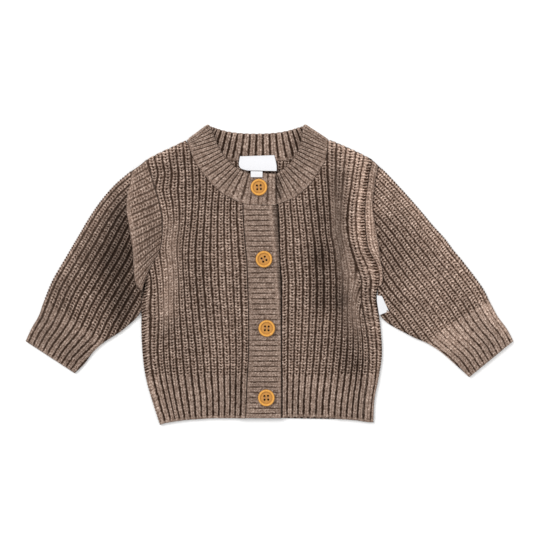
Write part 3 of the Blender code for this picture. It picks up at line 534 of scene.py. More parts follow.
def clipped_shell(name, top, knit, form, last, under, under_height, material, node):
    """A closed shell: a fine face whose columns may end early, and a coarser face behind it.

    last holds the row at which each column ends, and under the columns that the other face keeps.
    """
    rows = np.arange(top.shape[1])
    starts = np.concatenate([[0], np.cumsum(last + 1)[:-1]])
    index = starts[:, None] + np.minimum(rows[None, :], last[:, None])
    kept = rows[None, :] <= last[:, None]
    points, numbers, forms = top[kept], knit[kept], form[kept]
    faces = grid_faces(index)

    behind, behind_numbers, behind_forms, behind_index = [], [], [], []
    count = len(points)
    for c in under:
        line = index[c].copy()
        if c not in (0, len(last) - 1):
            inner = np.arange(1, last[c])
            line[inner] = count + np.arange(len(inner))
            count += len(inner)
            place = top[c, inner].copy()
            place[:, 2] = under_height(c, inner)
            behind.append(place)
            behind_numbers.append(knit[c, inner])
            behind_forms.append(form[c, inner])
        behind_index.append(line)
    faces += turned_over(grid_faces(np.array(behind_index)))
    for c0, c1 in zip(under[:-1], under[1:]):
        if c1 - c0 > 1:
            faces.append([int(index[c, 0]) for c in range(c1, c0 - 1, -1)])
            faces.append([int(index[c, last[c]]) for c in range(c0, c1 + 1)])
    points = np.concatenate([points] + behind)
    numbers = np.concatenate([numbers] + behind_numbers)
    forms = np.concatenate([forms] + behind_forms)
    return make_piece(name, points, numbers, forms, faces, material, node)


def two_faced(name, outer, inner, knit, form, material, node):
    """A closed shell between two grids that meet all round their rim."""
    columns, rows = outer.shape[:2]
    index = np.arange(columns * rows).reshape(columns, rows)
    inner_index = index.copy()
    core = np.zeros((columns, rows), bool)
    core[1:-1, 1:-1] = True
    inner_index[core] = columns * rows + np.arange(core.sum())
    points = np.concatenate([outer.reshape(-1, 3), inner[core]])
    numbers = np.concatenate([knit.reshape(-1, 2), knit[core]])
    forms = np.concatenate([form.reshape(-1, 3), form[core]])
    faces = grid_faces(index) + turned_over(grid_faces(inner_index))
    return make_piece(name, points, numbers, forms, faces, material, node)


def zipped(outer_ring, inner_ring, outer_places, inner_places):
    """Triangles between two closed rings, always stepping on from the point that is behind."""
    outer_places, inner_places = list(outer_places) + [1.0], list(inner_places) + [1.0]
    faces = []
    i = j = 0
    while i < len(outer_ring) or j < len(inner_ring):
        a, b = int(outer_ring[i % len(outer_ring)]), int(inner_ring[j % len(inner_ring)])
        outer_next = i < len(outer_ring)
        if outer_next and j < len(inner_ring):
            outer_next = outer_places[i + 1] <= inner_places[j + 1]
        if outer_next:
            i += 1
            faces.append([a, int(outer_ring[i % len(outer_ring)]), b])
        else:
            j += 1
            faces.append([a, int(inner_ring[j % len(inner_ring)]), b])
    return faces


# Fronts and back ------------------------------------------------------------------------------
SIDES = {
    "right": (FRONT_RIGHT, FRONT_RIGHT_COLUMNS, SHOULDER_RIGHT, -1.0),
    "left": (FRONT_LEFT, FRONT_LEFT_COLUMNS, SHOULDER_LEFT, 1.0),
}
RIB_ROOM = 0.15                 # least width of a rib squeezed at an edge
# Height and width of the cloth that is let out along the armholes.
LET_OUT = {
    "right": ((-48.0, 0.0), (-30.0, 1.3), (-8.0, 1.3), (5.0, 0.6), (20.0, 0.45), (125.0, 0.45)),
    "left": ((-16.0, 0.0), (-8.0, 1.0), (5.0, 0.8), (20.0, 0.5), (125.0, 0.5)),
}

# Heights over which the sewn armhole starts, and distances from the middle over which the sewn
# shoulder starts.
SEWN_SIDE = {"right": (-30.0, -20.0), "left": (-20.0, -8.0)}
SEWN_SHOULDER = {"right": (84.0, 94.0), "left": (60.0, 72.0)}
EDGE_RIB = (15.2, 16.0)         # the outermost rib, of which a share is turned under
EDGE_RIB_TURNED = 0.35
GATHERED_RIBS = (8, 14)         # ribs of the left front that run together in pairs
GATHERED_HEIGHTS = (-60.0, 15.0)
KEPT_RIBBED = (13.2, 13.9)      # ribs over which the left front starts to keep its full relief
# Where the cloth is pulled smooth beside an armhole: heights with the X of its middle and with its
# reach, and the heights over which it starts and ends.
PULLED_SMOOTH = {
    "right": (((-60.0, -112.0), (-10.0, -105.0), (60.0, -104.0)), ((0.0, 9.0),),
              (-75.0, -35.0), (40.0, 80.0)),
    "left": (((-60.0, 89.0), (-20.0, 90.0), (0.0, 86.0), (60.0, 76.0)),
             ((-60.0, 11.0), (-30.0, 14.0), (15.0, 11.0)), (-85.0, -45.0), (30.0, 65.0)),
}


def edge_across(side, height):
    """X of a front's outer edge, let out a little where the sleeve and its cap are sewn on."""
    table, names, _, outward = SIDES[side]
    let_out = np.interp(height, *zip(*LET_OUT[side]))
    return (eased(column(table, names, "height"), column(table, names, "edge"), height)
            + outward * let_out)


def rib_across(side, rib, height):
    """X of a rib line at each height, held inside the panel's outer edge."""
    table, names, _, outward = SIDES[side]
    knots = [int(n.split("_")[1]) for n in names if n.startswith("rib")][::-1]
    heights = column(table, names, "height")
    lines = np.array([eased(heights, column(table, names, "rib_%d" % k), height) for k in knots])
    natural = outward * eased(knots, lines, rib)
    natural = natural + np.interp(height, *zip(*LET_OUT[side])) * smooth_step(rib, 12.0, 16.0)
    edge = outward * edge_across(side, height)
    return outward * np.minimum(natural, edge - (FRONT_RIBS - rib) * RIB_ROOM)


def neckband_lines(part, steps):
    """Lines across one part of the neckband, so many to a rib."""
    table = NECKBAND_TABLES[part]
    return eased_rows(table, np.linspace(0, len(table) - 1, steps * NECKBAND_RIBS[part] + 1))


def top_line(*lines):
    """Height by X along seam lines that bound a panel."""
    points = sorted(tuple(p) for line in lines for p in line)
    across, height = zip(*points)
    return lambda x: np.interp(x, across, height)


def front_top(side):
    """Top edge of a front: its shoulder seam, then its neckline."""
    neckline = neckband_lines(side, 4)[:, 2:]
    shoulder = SIDES[side][2]
    inner_end = max(abs(p[0]) for p in neckline)
    return top_line([p for p in shoulder if abs(p[0]) > inner_end], neckline)


def back_top():
    """Top edge of the back, from shoulder to shoulder."""
    return top_line(SHOULDER_RIGHT, neckband_lines("back", 4)[:, 2:], SHOULDER_LEFT)


def hem_line(x):
    """Height of the hem."""
    return np.interp(x, *zip(*HEM))


def lifted_hem(x):
    """Hem of the left front, which lets a strip of the back's hem show under it."""
    return hem_line(x) + 1.7 * smooth_step(x, 12.0, 20.0) * (1 - smooth_step(x, 62.0, 78.0))


HEM_LINES = {"right": hem_line, "left": lifted_hem}


def hem_share(y):
    """Share of the hem rib in the knit at a height."""
    return 1 - smooth_step(y, HEM_RIB_TOP - HEM_RIB_BLEND, HEM_RIB_TOP + HEM_RIB_BLEND)


def columns_up(lines, top_at, step, hem_at=hem_line):
    """Columns of points from the hem to the top edge, a constant step apart but for the last."""
    scan = np.arange(-166.0, 150.0, 0.5)
    runs, last, rows_at = [], [], []
    count = int(320 / step)
    for line_at in lines:
        x = line_at(scan)
        above = np.nonzero(scan > hem_at(x))[0][0]
        bottom = float(hem_at(x[above]))
        over = np.nonzero((scan > 0) & (scan > top_at(x)))[0][0]
        f0 = scan[over - 1] - top_at(x[over - 1])
        f1 = scan[over] - top_at(x[over])
        top = scan[over - 1] + 0.5 * f0 / (f0 - f1)
        y = np.minimum(bottom + step * np.arange(count), top)
        end = int(math.ceil((top - bottom) / step))
        runs.append(np.column_stack([line_at(y), y]))
        rows_at.append(y - bottom)
        last.append(end)
    longest = max(last) + 1
    return np.array(runs)[:, :longest], np.array(rows_at)[:, :longest], np.array(last)


def band_left_edge(y):
    """X of the seam between the right front and its band."""
    return eased(column(FRONT_RIGHT, FRONT_RIGHT_COLUMNS, "height"),
                 column(FRONT_RIGHT, FRONT_RIGHT_COLUMNS, "rib_0"), y)


def band_right_edge(y):
    """X of the buttonhole band's free edge."""
    heights, across = zip(*BAND_FREE_EDGE)
    return eased(heights, across, y)


def rib_numbers(side, rib, y):
    """Rib numbers as they run on the panel: the left front loses three ribs up to its armhole."""
    outer = spread(rib - EDGE_RIB_TURNED * smooth_step(rib, *EDGE_RIB), y)
    if side == "right":
        return outer
    first, last = GATHERED_RIBS
    gathered = mixed(rib, first + (rib - first) / 2, smooth_step(y, *GATHERED_HEIGHTS))
    lost = (last - first) / 2
    return np.where(rib <= first, outer, np.where(rib < last, gathered, outer - lost))


def stretched(side, x, y):
    """How far the cloth is pulled smooth beside the armhole."""
    middles, reaches, start, end = PULLED_SMOOTH[side]
    middle, reach = np.interp(y, *zip(*middles)), np.interp(y, *zip(*reaches))
    return (np.exp(-((x - middle) / reach) ** 2)
            * smooth_step(y, *start) * (1 - smooth_step(y, *end)))


def knit_front(side, settings, material):
    """A front in the wide rib over its hem rib, full between its folds."""
    outward = SIDES[side][3]
    stitch = settings.stitch_height / MM
    ribs = np.arange(FRONT_RIBS * COLUMNS_PER_RIB + 1) / COLUMNS_PER_RIB
    top_at = front_top(side)
    lines = [lambda y, rib=rib: rib_across(side, rib, y) for rib in ribs]
    runs, rise, last = columns_up(lines, top_at, stitch / ROWS_PER_STITCH, HEM_LINES[side])
    x, y = runs[:, :, 0], runs[:, :, 1]
    rows = rise / stitch
    rib = rib_numbers(side, ribs[:, None], y)
    if side == "right":
        rib = without_first_groove(rib)
    wander = RIB_WANDER * uneven(rib, rows, 5)
    hem = hem_share(y)
    relief = mixed(wide_rib(rib + wander, rows), fine_rib(rib + wander, rows), hem)
    pitch = np.abs(np.gradient(x, axis=0)) * COLUMNS_PER_RIB
    pulled = stretched(side, x, y)
    if side == "left":
        pulled = pulled * (1 - smooth_step(ribs, *KEPT_RIBBED))[:, None]
    fade = smooth_step(pitch, 2.0, 5.5) * (1 - 0.76 * pulled)
    fade = fade * smooth_step(rise, 1.8, 3.8)
    relief = mixed(0.62 + 0.2 * relief, relief, fade)
    base = spread(FRONT_BASE, y)
    if side == "right":
        seam = band_left_edge(y)
        base = base + ((OVERLAP_BASE - FRONT_BASE)
                       * smooth_step(x, seam - BAND_RISE[0], seam - BAND_RISE[1]))
    depth = settings.rib_depth / MM
    edge = np.abs(edge_across(side, y) - x)
    # The folds' value shapes the crown and is also painted: shade where the cloth sinks, light where
    # it stands up.
    low = sunk("front_" + side, x, y)
    inner_edge = np.abs(x - x[0][None, :])
    crown = FOLD_DEPTH * (1 - np.clip(low, -1.0, 1.0)) * smooth_step(edge, 0.0, 16.0)
    crown = crown * smooth_step(rise, 0.0, 25.0) * smooth_step(top_at(x) - y, 0.0, 20.0)
    crown = crown * smooth_step(inner_edge, 0.0, 14.0)
    height = base + PANEL_GROOVE + depth * relief + crown
    height = height + 0.12 * uneven(rib * 1.7, rows * 2.1, 8)
    sewn = smooth_step(y, *SEWN_SIDE[side])
    height = edged(height, base + mixed(0.1, 1.6, sewn), edge, mixed(3.0, 0.7, sewn))
    slope = np.abs(np.gradient(top_at(ribs_top(x, last)), ribs_top(x, last)))
    to_top = (top_at(x) - y) / np.sqrt(1 + slope[:, None] ** 2)
    height = edged(height, base + 0.7, to_top, 1.8)
    height = edged(height, base + 0.6, rise, 1.6)
    height = edged(height, base + 0.9, inner_edge, 1.0)
    sewn_shoulder = smooth_step(np.abs(x), *SEWN_SHOULDER[side])
    y = y + 0.9 * (relief - 0.5) * sewn_shoulder * (1 - smooth_step(to_top, 0.0, 3.0))
    side_bead = 0.35 * np.cos(2 * math.pi * rows) * (1 - smooth_step(edge, 0.0, 3.0))
    x = x + outward * side_bead * (1 - smooth_step(y, -60.0, -40.0))
    x = x + outward * 0.2 * (1 - smooth_step(inner_edge, 0.0, 3.0))
    top = np.stack([x, y, height], axis=-1)
    knit = np.stack([rib, rows], axis=-1)
    under = list(range(0, len(ribs), COLUMNS_PER_RIB))
    # The form's last value adds a little painted shade on the hem rib.
    form = np.stack([1.25 * hem, fade * mixed(1.0, 0.92, hem), low + 0.12 * hem], axis=-1)
    return clipped_shell("knitted_front_" + side, top, knit, form, last, under,
                         lambda c, r: base[c, r] + 0.8 * crown[c, r], material, "front_" + side)


def ribs_top(x, last):
    """X at the top end of each column."""
    return x[np.arange(len(last)), last]


def knit_back(settings, material):
    """The back, ribs down against the floor, with its ribbed inner side up inside the neck."""
    stitch = settings.stitch_height / MM
    columns = HIDDEN_COLUMNS_PER_RIB
    ribs = np.arange(0, BACK_RIBS * columns + 1) / columns
    top_line_at = back_top()

    def top_at(x):
        """Top edge, a little lower than the shoulder seams."""
        return top_line_at(x) - 0.35 * smooth_step(np.abs(x), 62.0, 72.0)

    def line(share):
        """A rib line at a share of the way from side to side."""
        return lambda y: mixed(rib_across("right", FRONT_RIBS, y),
                               rib_across("left", FRONT_RIBS, y), share)

    runs, rise, last = columns_up([line(rib / ribs[-1]) for rib in ribs], top_at, stitch / 2)
    x, y = runs[:, :, 0], runs[:, :, 1]
    rows = rise / stitch
    rib = spread(ribs[:, None], y)
    hem = hem_share(y)
    relief = mixed(wide_rib(rib, rows), fine_rib(rib, rows), hem)
    height = PRESSED_RIB * (1 - relief)
    edge = np.minimum(x - edge_across("right", y), edge_across("left", y) - x)
    height = edged(height, BACK_WALL, edge, 2.4)
    height = edged(height, BACK_WALL - 0.6, top_at(x) - y, 1.6)
    height = edged(height, BACK_WALL - 1.0, rise, 1.6)
    top = np.stack([x, y, height], axis=-1)
    knit = np.stack([rib, rows], axis=-1)
    inside = BACK_WALL - PRESSED_RIB * (1 - wide_rib(rib + 0.5, rows))
    # The back's inside, seen in the neck, is painted a little darker as shade.
    form = np.stack([hem, np.ones_like(hem), np.full_like(hem, 0.3)], axis=-1)
    return clipped_shell("knitted_back", top, knit, form, last, list(range(len(ribs))),
                         lambda c, r: inside[c, r], material, "back")


# Sleeves --------------------------------------------------------------------------------------
def knit_sleeve(side, table, settings, material):
    """A flattened tube with a cuff rib, its lower cloth running on under the cap."""
    table_places, walked = walked_along(table)
    stitch = settings.stitch_height / MM
    at = np.arange(0.0, walked[-1], stitch / ROWS_PER_STITCH)
    at[-1] = walked[-1]
    places = np.interp(at, walked, table_places)
    stations = eased_rows(table, places)
    rows_along = at / stitch
    edge, upper, lower, pitch = (stations[:, 0:2], stations[:, 2:4], stations[:, 4:6],
                                 stations[:, 6])
    to_end = walked[-1] - at
    cuff_at = len(table) - 1 - CUFF_ROWS
    cuff = smooth_step(places, cuff_at - 0.1, cuff_at + 0.1)
    depth = settings.rib_depth / MM

    def layer(target, columns, up):
        """One layer of the tube, from the outer edge to the target line."""
        width = np.hypot(*(target - edge).T)
        along = (target - edge) / width[:, None]
        ribs = np.arange(0, SLEEVE_RIBS * columns + 1) / columns
        natural = ribs[None, :] * pitch[:, None]
        last = np.ceil(width / pitch * columns).astype(int)
        distance = np.minimum(natural, width[:, None])
        rib = distance / pitch[:, None] + 1 - FIRST_GROOVE
        row = spread(rows_along[:, None], rib)
        wander = RIB_WANDER * uneven(rib, row, 11 if up else 12)
        relief = mixed(wide_rib(rib + wander, row), fine_rib(rib + wander, row), cuff[:, None])
        bound_off = smooth_step(to_end, 0.8, 3.2)
        relief = mixed(0.55, relief, (mixed(1.0, 0.7, cuff) * bound_off)[:, None])
        bead = 0.45 * np.cos(2 * math.pi * row) * (1 - smooth_step(distance, 0.0, 3.5))
        bead = bead * (1 - cuff[:, None])
        xy = edge[:, None, :] + along[:, None, :] * (distance - bead)[:, :, None]
        # The folds' value shapes the upper cloth's crown and is also painted as shade and light.
        low = sunk("sleeve_" + side, xy[..., 0], xy[..., 1]) * (1.0 if up else 0.0)
        if up:
            crown = FOLD_DEPTH * (1 - np.clip(low, -1.0, 1.0)) * smooth_step(distance, 0.0, 18.0)
            crown = crown * smooth_step(width[:, None] - distance, 0.0, 12.0)
            crown = crown * smooth_step(to_end, 0.0, 25.0)[:, None]
            height = SLEEVE_BASE + PANEL_GROOVE + depth * relief + crown
            height = edged(height, SLEEVE_EDGE, distance, 3.4)
            height = edged(height, 3.0, width[:, None] - distance, 2.6)
            height = edged(height, SLEEVE_BASE, to_end[:, None], 1.6)
        else:
            height = PRESSED_RIB * (1 - relief)
            height = edged(height, SLEEVE_EDGE, distance, 2.6)
            height = edged(height, 1.6, width[:, None] - distance, 2.0)
            height = edged(height, BACK_WALL, to_end[:, None], 1.6)
        strength = spread((mixed(1.0, 0.80, cuff) * bound_off)[:, None], rib)
        if side == "right":
            strength = strength * mixed(0.72, 0.95, smooth_step(distance, 12.0, 45.0))
        form = np.dstack([spread(1.5 * cuff[:, None], rib), strength, low])
        return np.dstack([xy, height]), np.dstack([rib, row]), form, last, width

    top, top_knit, top_form, top_last, width = layer(upper, COLUMNS_PER_RIB, True)
    low, low_knit, low_form, low_last, low_width = layer(lower, HIDDEN_COLUMNS_PER_RIB, False)
    rows = np.arange(top.shape[1])
    low_rows = np.arange(low.shape[1])
    count = len(stations)
    kept = rows[None, :] <= top_last[:, None]
    starts = np.concatenate([[0], np.cumsum(top_last + 1)[:-1]])
    index = starts[:, None] + np.minimum(rows[None, :], top_last[:, None])
    points, numbers, forms = [top[kept]], [top_knit[kept]], [top_form[kept]]
    total = int(kept.sum())

    low_kept = (low_rows[None, :] <= low_last[:, None]) & (low_rows[None, :] > 0)
    low_starts = total + np.concatenate([[0], np.cumsum(low_last)[:-1]])
    low_index = low_starts[:, None] + np.minimum(low_rows[None, :], low_last[:, None]) - 1
    low_index[:, 0] = index[:, 0]
    points.append(low[low_kept])
    numbers.append(low_knit[low_kept])
    forms.append(low_form[low_kept])
    total += int(low_kept.sum())

    # The two layers end apart, with a shelf and a lip between their ends.
    top_end = top[np.arange(count), top_last]
    low_end = low[np.arange(count), low_last]
    shelf = np.column_stack([mixed(top_end[:, :2], low_end[:, :2], 0.12), np.full(count, BACK_WALL)])
    lip = np.column_stack([low_end[:, :2], np.full(count, BACK_WALL - 0.1)])
    strip = np.stack([index[np.arange(count), top_last], total + np.arange(count),
                      total + count + np.arange(count), low_index[np.arange(count), low_last]],
                     axis=1)
    points += [shelf, lip]
    numbers += [top_knit[np.arange(count), top_last], low_knit[np.arange(count), low_last]]
    forms += [top_form[np.arange(count), top_last]] * 2
    total += 2 * count

    # The tube's flat hollow, open at both ends.
    shares = (0.05, 0.35, 0.65, 0.94)
    picked = np.append(np.arange(0, count - 6, 10), count - 1)
    hollow = []
    for s in picked:
        for height, order in ((SLEEVE_BASE, shares), (BACK_WALL, shares[::-1])):
            for share in order:
                hollow.append((*mixed(edge[s], upper[s], share), height))
    hollow_index = total + np.arange(len(hollow)).reshape(len(picked), 8)
    points.append(np.array(hollow))
    numbers.append(np.zeros((len(hollow), 2)))
    forms.append(np.zeros((len(hollow), 3)))

    faces = grid_faces(index) + turned_over(grid_faces(low_index)) + grid_faces(strip)
    closed = np.concatenate([hollow_index, hollow_index[:, :1]], axis=1)
    faces += turned_over(grid_faces(closed))
    hollow_places = [share / 2 for share in shares] + [1 - share / 2 for share in shares[::-1]]
    for s, inner in ((0, hollow_index[0]), (count - 1, hollow_index[-1])):
        outer = list(index[s, :top_last[s] + 1]) + list(strip[s, 1:3])
        outer += list(low_index[s, low_last[s]:0:-1])
        at_top = [0.5 * min(r / COLUMNS_PER_RIB * pitch[s] / width[s], 1.0)
                  for r in range(top_last[s] + 1)]
        at_low = [1 - 0.48 * min(r / HIDDEN_COLUMNS_PER_RIB * pitch[s] / low_width[s], 1.0)
                  for r in range(low_last[s], 0, -1)]
        ring = zipped(outer, inner, at_top + [0.505, 0.51] + at_low, hollow_places)
        faces += ring if s == 0 else turned_over(ring)
    return make_piece("knitted_sleeve_" + side, np.concatenate(points), np.concatenate(numbers),
                      np.concatenate(forms), faces, material, "sleeve_" + side)


def evenly_along(table, count):
    """Places in a table of line ends that lie evenly spaced along the lines' middles."""
    places, walked = walked_along(table)
    return np.interp(np.linspace(0, walked[-1], count), walked, places)


CAP_GRID = {"right": (CAP_RIBS * COLUMNS_PER_RIB, 44), "left": (176, 22)}   # along and across


def knit_cap(side, table, settings, material):
    """A cap folded over the sleeve from the armhole seam to its ridge."""
    depth = settings.rib_depth / MM
    stitch = settings.stitch_height / MM
    steps, across = CAP_GRID[side]
    lines = eased_rows(table, evenly_along(table, steps + 1))
    shares = np.linspace(0, 1, across)[None, :]
    width = line_lengths(lines)
    if side == "right":
        row = shares * width / stitch
        rib = (np.arange(steps + 1) / COLUMNS_PER_RIB)[:, None]
        rib = spread(rib - 0.45 * smooth_step(rib, CAP_RIBS - 0.8, CAP_RIBS), row)
        lift = smooth_step(shares, 0.2, 0.62)
        strength, carried, plain_ridge = 0.54, 1.0, (2.0, 9.0)
    else:
        row = spread(np.linspace(0, CAP_LEFT_LENGTH / stitch, steps + 1)[:, None], shares)
        rib = 0.12 + shares * width / CAP_LEFT_PITCH
        lift = smooth_step(shares, 0.0, 0.25)
        strength, carried, plain_ridge = 0.45, 0.45, (0.3, 2.0)
    lines[:, 0] = edge_across(side, lines[:, 1]) + SIDES[side][3] * 0.12
    xy = lines[:, None, 0:2] + (lines[:, None, 2:4] - lines[:, None, 0:2]) * shares[..., None]
    relief = wide_rib(rib + 0.03 * uneven(rib, row, 3), row)
    to_ridge = (1 - shares) * width
    to_seam = shares * width
    ribbed = smooth_step(to_ridge, *plain_ridge)
    relief = mixed(0.6 + 0.15 * relief, relief, ribbed * carried)
    # The folds' value only paints shade and light here: it does not shape the cap.
    low = sunk("cap_" + side, xy[..., 0], xy[..., 1])
    base = spread(FRONT_BASE + CAP_LIFT * lift, relief)
    ridge = 2.6 * smooth_step(to_seam / width, 0.1, 0.8)
    height = base + ridge + PANEL_GROOVE + 1.0 + (depth - 1.0) * relief
    height = edged(height, base + 0.2, to_ridge, 3.0)
    height = edged(height, base + 1.4, to_seam, 0.7)
    ends = np.minimum(np.arange(steps + 1), steps - np.arange(steps + 1))[:, None] * 0.7
    height = edged(height, base + 1.0, ends, 1.0)
    top = np.dstack([xy, height])
    last = np.full(steps + 1, top.shape[1] - 1)
    under = list(range(0, steps + 1, 8))
    form = np.dstack([np.zeros_like(height), strength * ribbed, low])
    return clipped_shell("knitted_cap_" + side, top, np.dstack([rib, row]), form, last, under,
                         lambda c, r: base[c, r], material, "sleeve_cap_" + side)


# Neckband -------------------------------------------------------------------------------------
def neckband_sections(steps):
    """Sections of the neckband, from its right end over both shoulders to its left end.

    Each is a line across the band, its height, the way in which its outer face looks, how far
    its outer and inner face lie that way, its rib number and how far its ribs stand out there,
    which is below zero on the back.
    """
    up = np.array((0.0, 0.0, 1.0))
    fold_z = NECK_BASE - 0.15
    sections = []

    def fold(axis, turns, rib):
        """The band turning over about a line at a shoulder."""
        line = axis[:2] - axis[2:]
        away = np.array([-line[1], line[0]]) / np.linalg.norm(line)
        away = away * np.sign(away[1])
        for turn in np.radians(turns):
            share = turn / math.pi
            way = np.array((away[0] * math.sin(turn), away[1] * math.sin(turn), math.cos(turn)))
            outside = mixed(NECK_BASE + BAND_GROOVE - fold_z, fold_z - 0.9, share)
            inside = mixed(0.15, fold_z - 1.5, share)
            sections.append((axis, fold_z, way, outside, inside, rib + 0.5 + 0.5 * share, 1.0))

    right, back, left = (neckband_lines(part, steps) for part in ("right", "back", "left"))
    turns = np.linspace(12, 168, 12)
    rib = 0.0
    for i, row in enumerate(right):
        base = mixed(NECK_BASE, OVERLAP_BASE, float(smooth_step((row[0] + row[2]) / 2, *NECK_RISE)))
        sections.append((row, base, up, BAND_GROOVE, 0.0, rib + i / steps, 1.0))
    rib += NECKBAND_RIBS["right"]
    fold(right[-1], turns, rib)
    rib += 1
    for i, row in enumerate(back):
        sections.append((row, 0.0, up, PRESSED_RIB, 1.4, rib + i / steps, -1.0))
    rib += NECKBAND_RIBS["back"]
    fold(back[-1], turns[::-1], rib)
    rib += 1
    for i, row in enumerate(left):
        sections.append((row, NECK_BASE, up, BAND_GROOVE, 0.0, rib + i / steps,
                         float(smooth_step(row[0], *NECK_FADE))))
    return [np.array(values) for values in zip(*sections)]


def knit_neckband(settings, material):
    """One strip of 1x1 rib, folded over at each shoulder, right end on top at the centre."""
    across = np.concatenate([[0, 0.012, 0.03], np.linspace(0.055, 0.945, 33), [0.97, 0.988, 1.0]])
    depth = settings.band_rib_depth / MM
    lines, origin, direction, outside, inside, rib_at, show = neckband_sections(8)
    outside, inside, show = outside[:, None], inside[:, None], show[:, None]
    width = line_lengths(lines)
    a = across[None, :]
    ribs = spread(rib_at[:, None], a)
    rows = a * width / (settings.stitch_height / MM)
    back = show < 0
    narrow = np.where(back, 0.0, 0.05)
    relief = fine_rib(ribs + 0.03 * uneven(ribs, rows, 21), rows, narrow)
    plain = smooth_step((1 - a) * width, 2.0, 4.6) * smooth_step(a * width, 0.2, 1.6)
    middle_x, middle_y = ((lines[:, c] * (1 - a).T + lines[:, c + 2] * a.T).T for c in (0, 1))
    button_x, button_y, _ = BUTTONS[0]
    away = np.hypot(middle_x - button_x, middle_y - button_y)
    plain = plain * np.where(back, 1.0, smooth_step(away, 8.5, 15.0))
    relief = mixed(0.55, relief, plain)
    ends = np.minimum(np.arange(len(lines)), np.arange(len(lines))[::-1])[:, None] * 0.8
    rim = rounded(np.minimum(a * width, 3.0), 1.8) * rounded((1 - a) * width, 1.8)
    rim = rim * rounded(ends, 1.4)
    over_band = 1 - smooth_step(rib_at, 3.5, 5.5)[:, None]
    rim = np.maximum(rim, 0.88 * over_band * smooth_step(a, 0.5, 0.6) * rounded(ends, 1.4))
    scallop = 0.5 * (relief_scallop(ribs) - 0.5) * (1 - smooth_step(a * width, 0.0, 3.0))
    neck, seam = lines[:, None, 0:2], lines[:, None, 2:4]
    along = (neck - seam) / width[..., None]
    xy = neck + (seam - neck) * a[..., None] + along * scallop[..., None]
    place = np.dstack([xy, spread(origin[:, None], a)])
    rolled = smooth_step(rib_at, 4.0, 8.0) * (1 - smooth_step(rib_at, 17.5, 21.0))
    rolled = rolled + smooth_step(rib_at, 42.5, 46.0) * (1 - smooth_step(rib_at, 56.0, 60.0))
    roll = 4.0 * (1 - smooth_step(a * width, 1.0, 16.0)) * rolled[:, None]
    full_outer = np.where(back, PRESSED_RIB * (1 - relief), outside + roll + depth * relief * show)
    full_inner = np.where(back, 1.4 + depth * relief, inside)
    middle = np.where(back, 1.2, (outside + inside) / 2)
    outer = place + direction[:, None, :] * mixed(middle, full_outer, rim)[..., None]
    inner = place + direction[:, None, :] * mixed(middle, full_inner, rim)[..., None]
    strong = np.where(back, 0.88, mixed(0.66, 0.5, smooth_step(a * width, 6.0, 24.0)))
    # Painted shade and light from the folds, with a little more painted shade on the front parts.
    low = sunk("neckband", middle_x, middle_y) + np.where(back, 0.0, 0.15)
    form = np.dstack([spread(1.0 + narrow / 0.07, relief), strong * plain, low])
    return two_faced("knitted_neckband", outer, inner, np.dstack([ribs, rows]), form, material,
                     "neckband")


def relief_scallop(rib):
    """How far the free neck edge swells out at a rib."""
    across = np.abs(rib - np.round(rib))
    return smooth_step(across, 0.05, 0.35)


# Front bands ----------------------------------------------------------------------------------
BUTTONHOLE_ABOVE = 10.6         # from a button's centre up to its buttonhole
BUTTONHOLE_HALF_LENGTH = 2.5


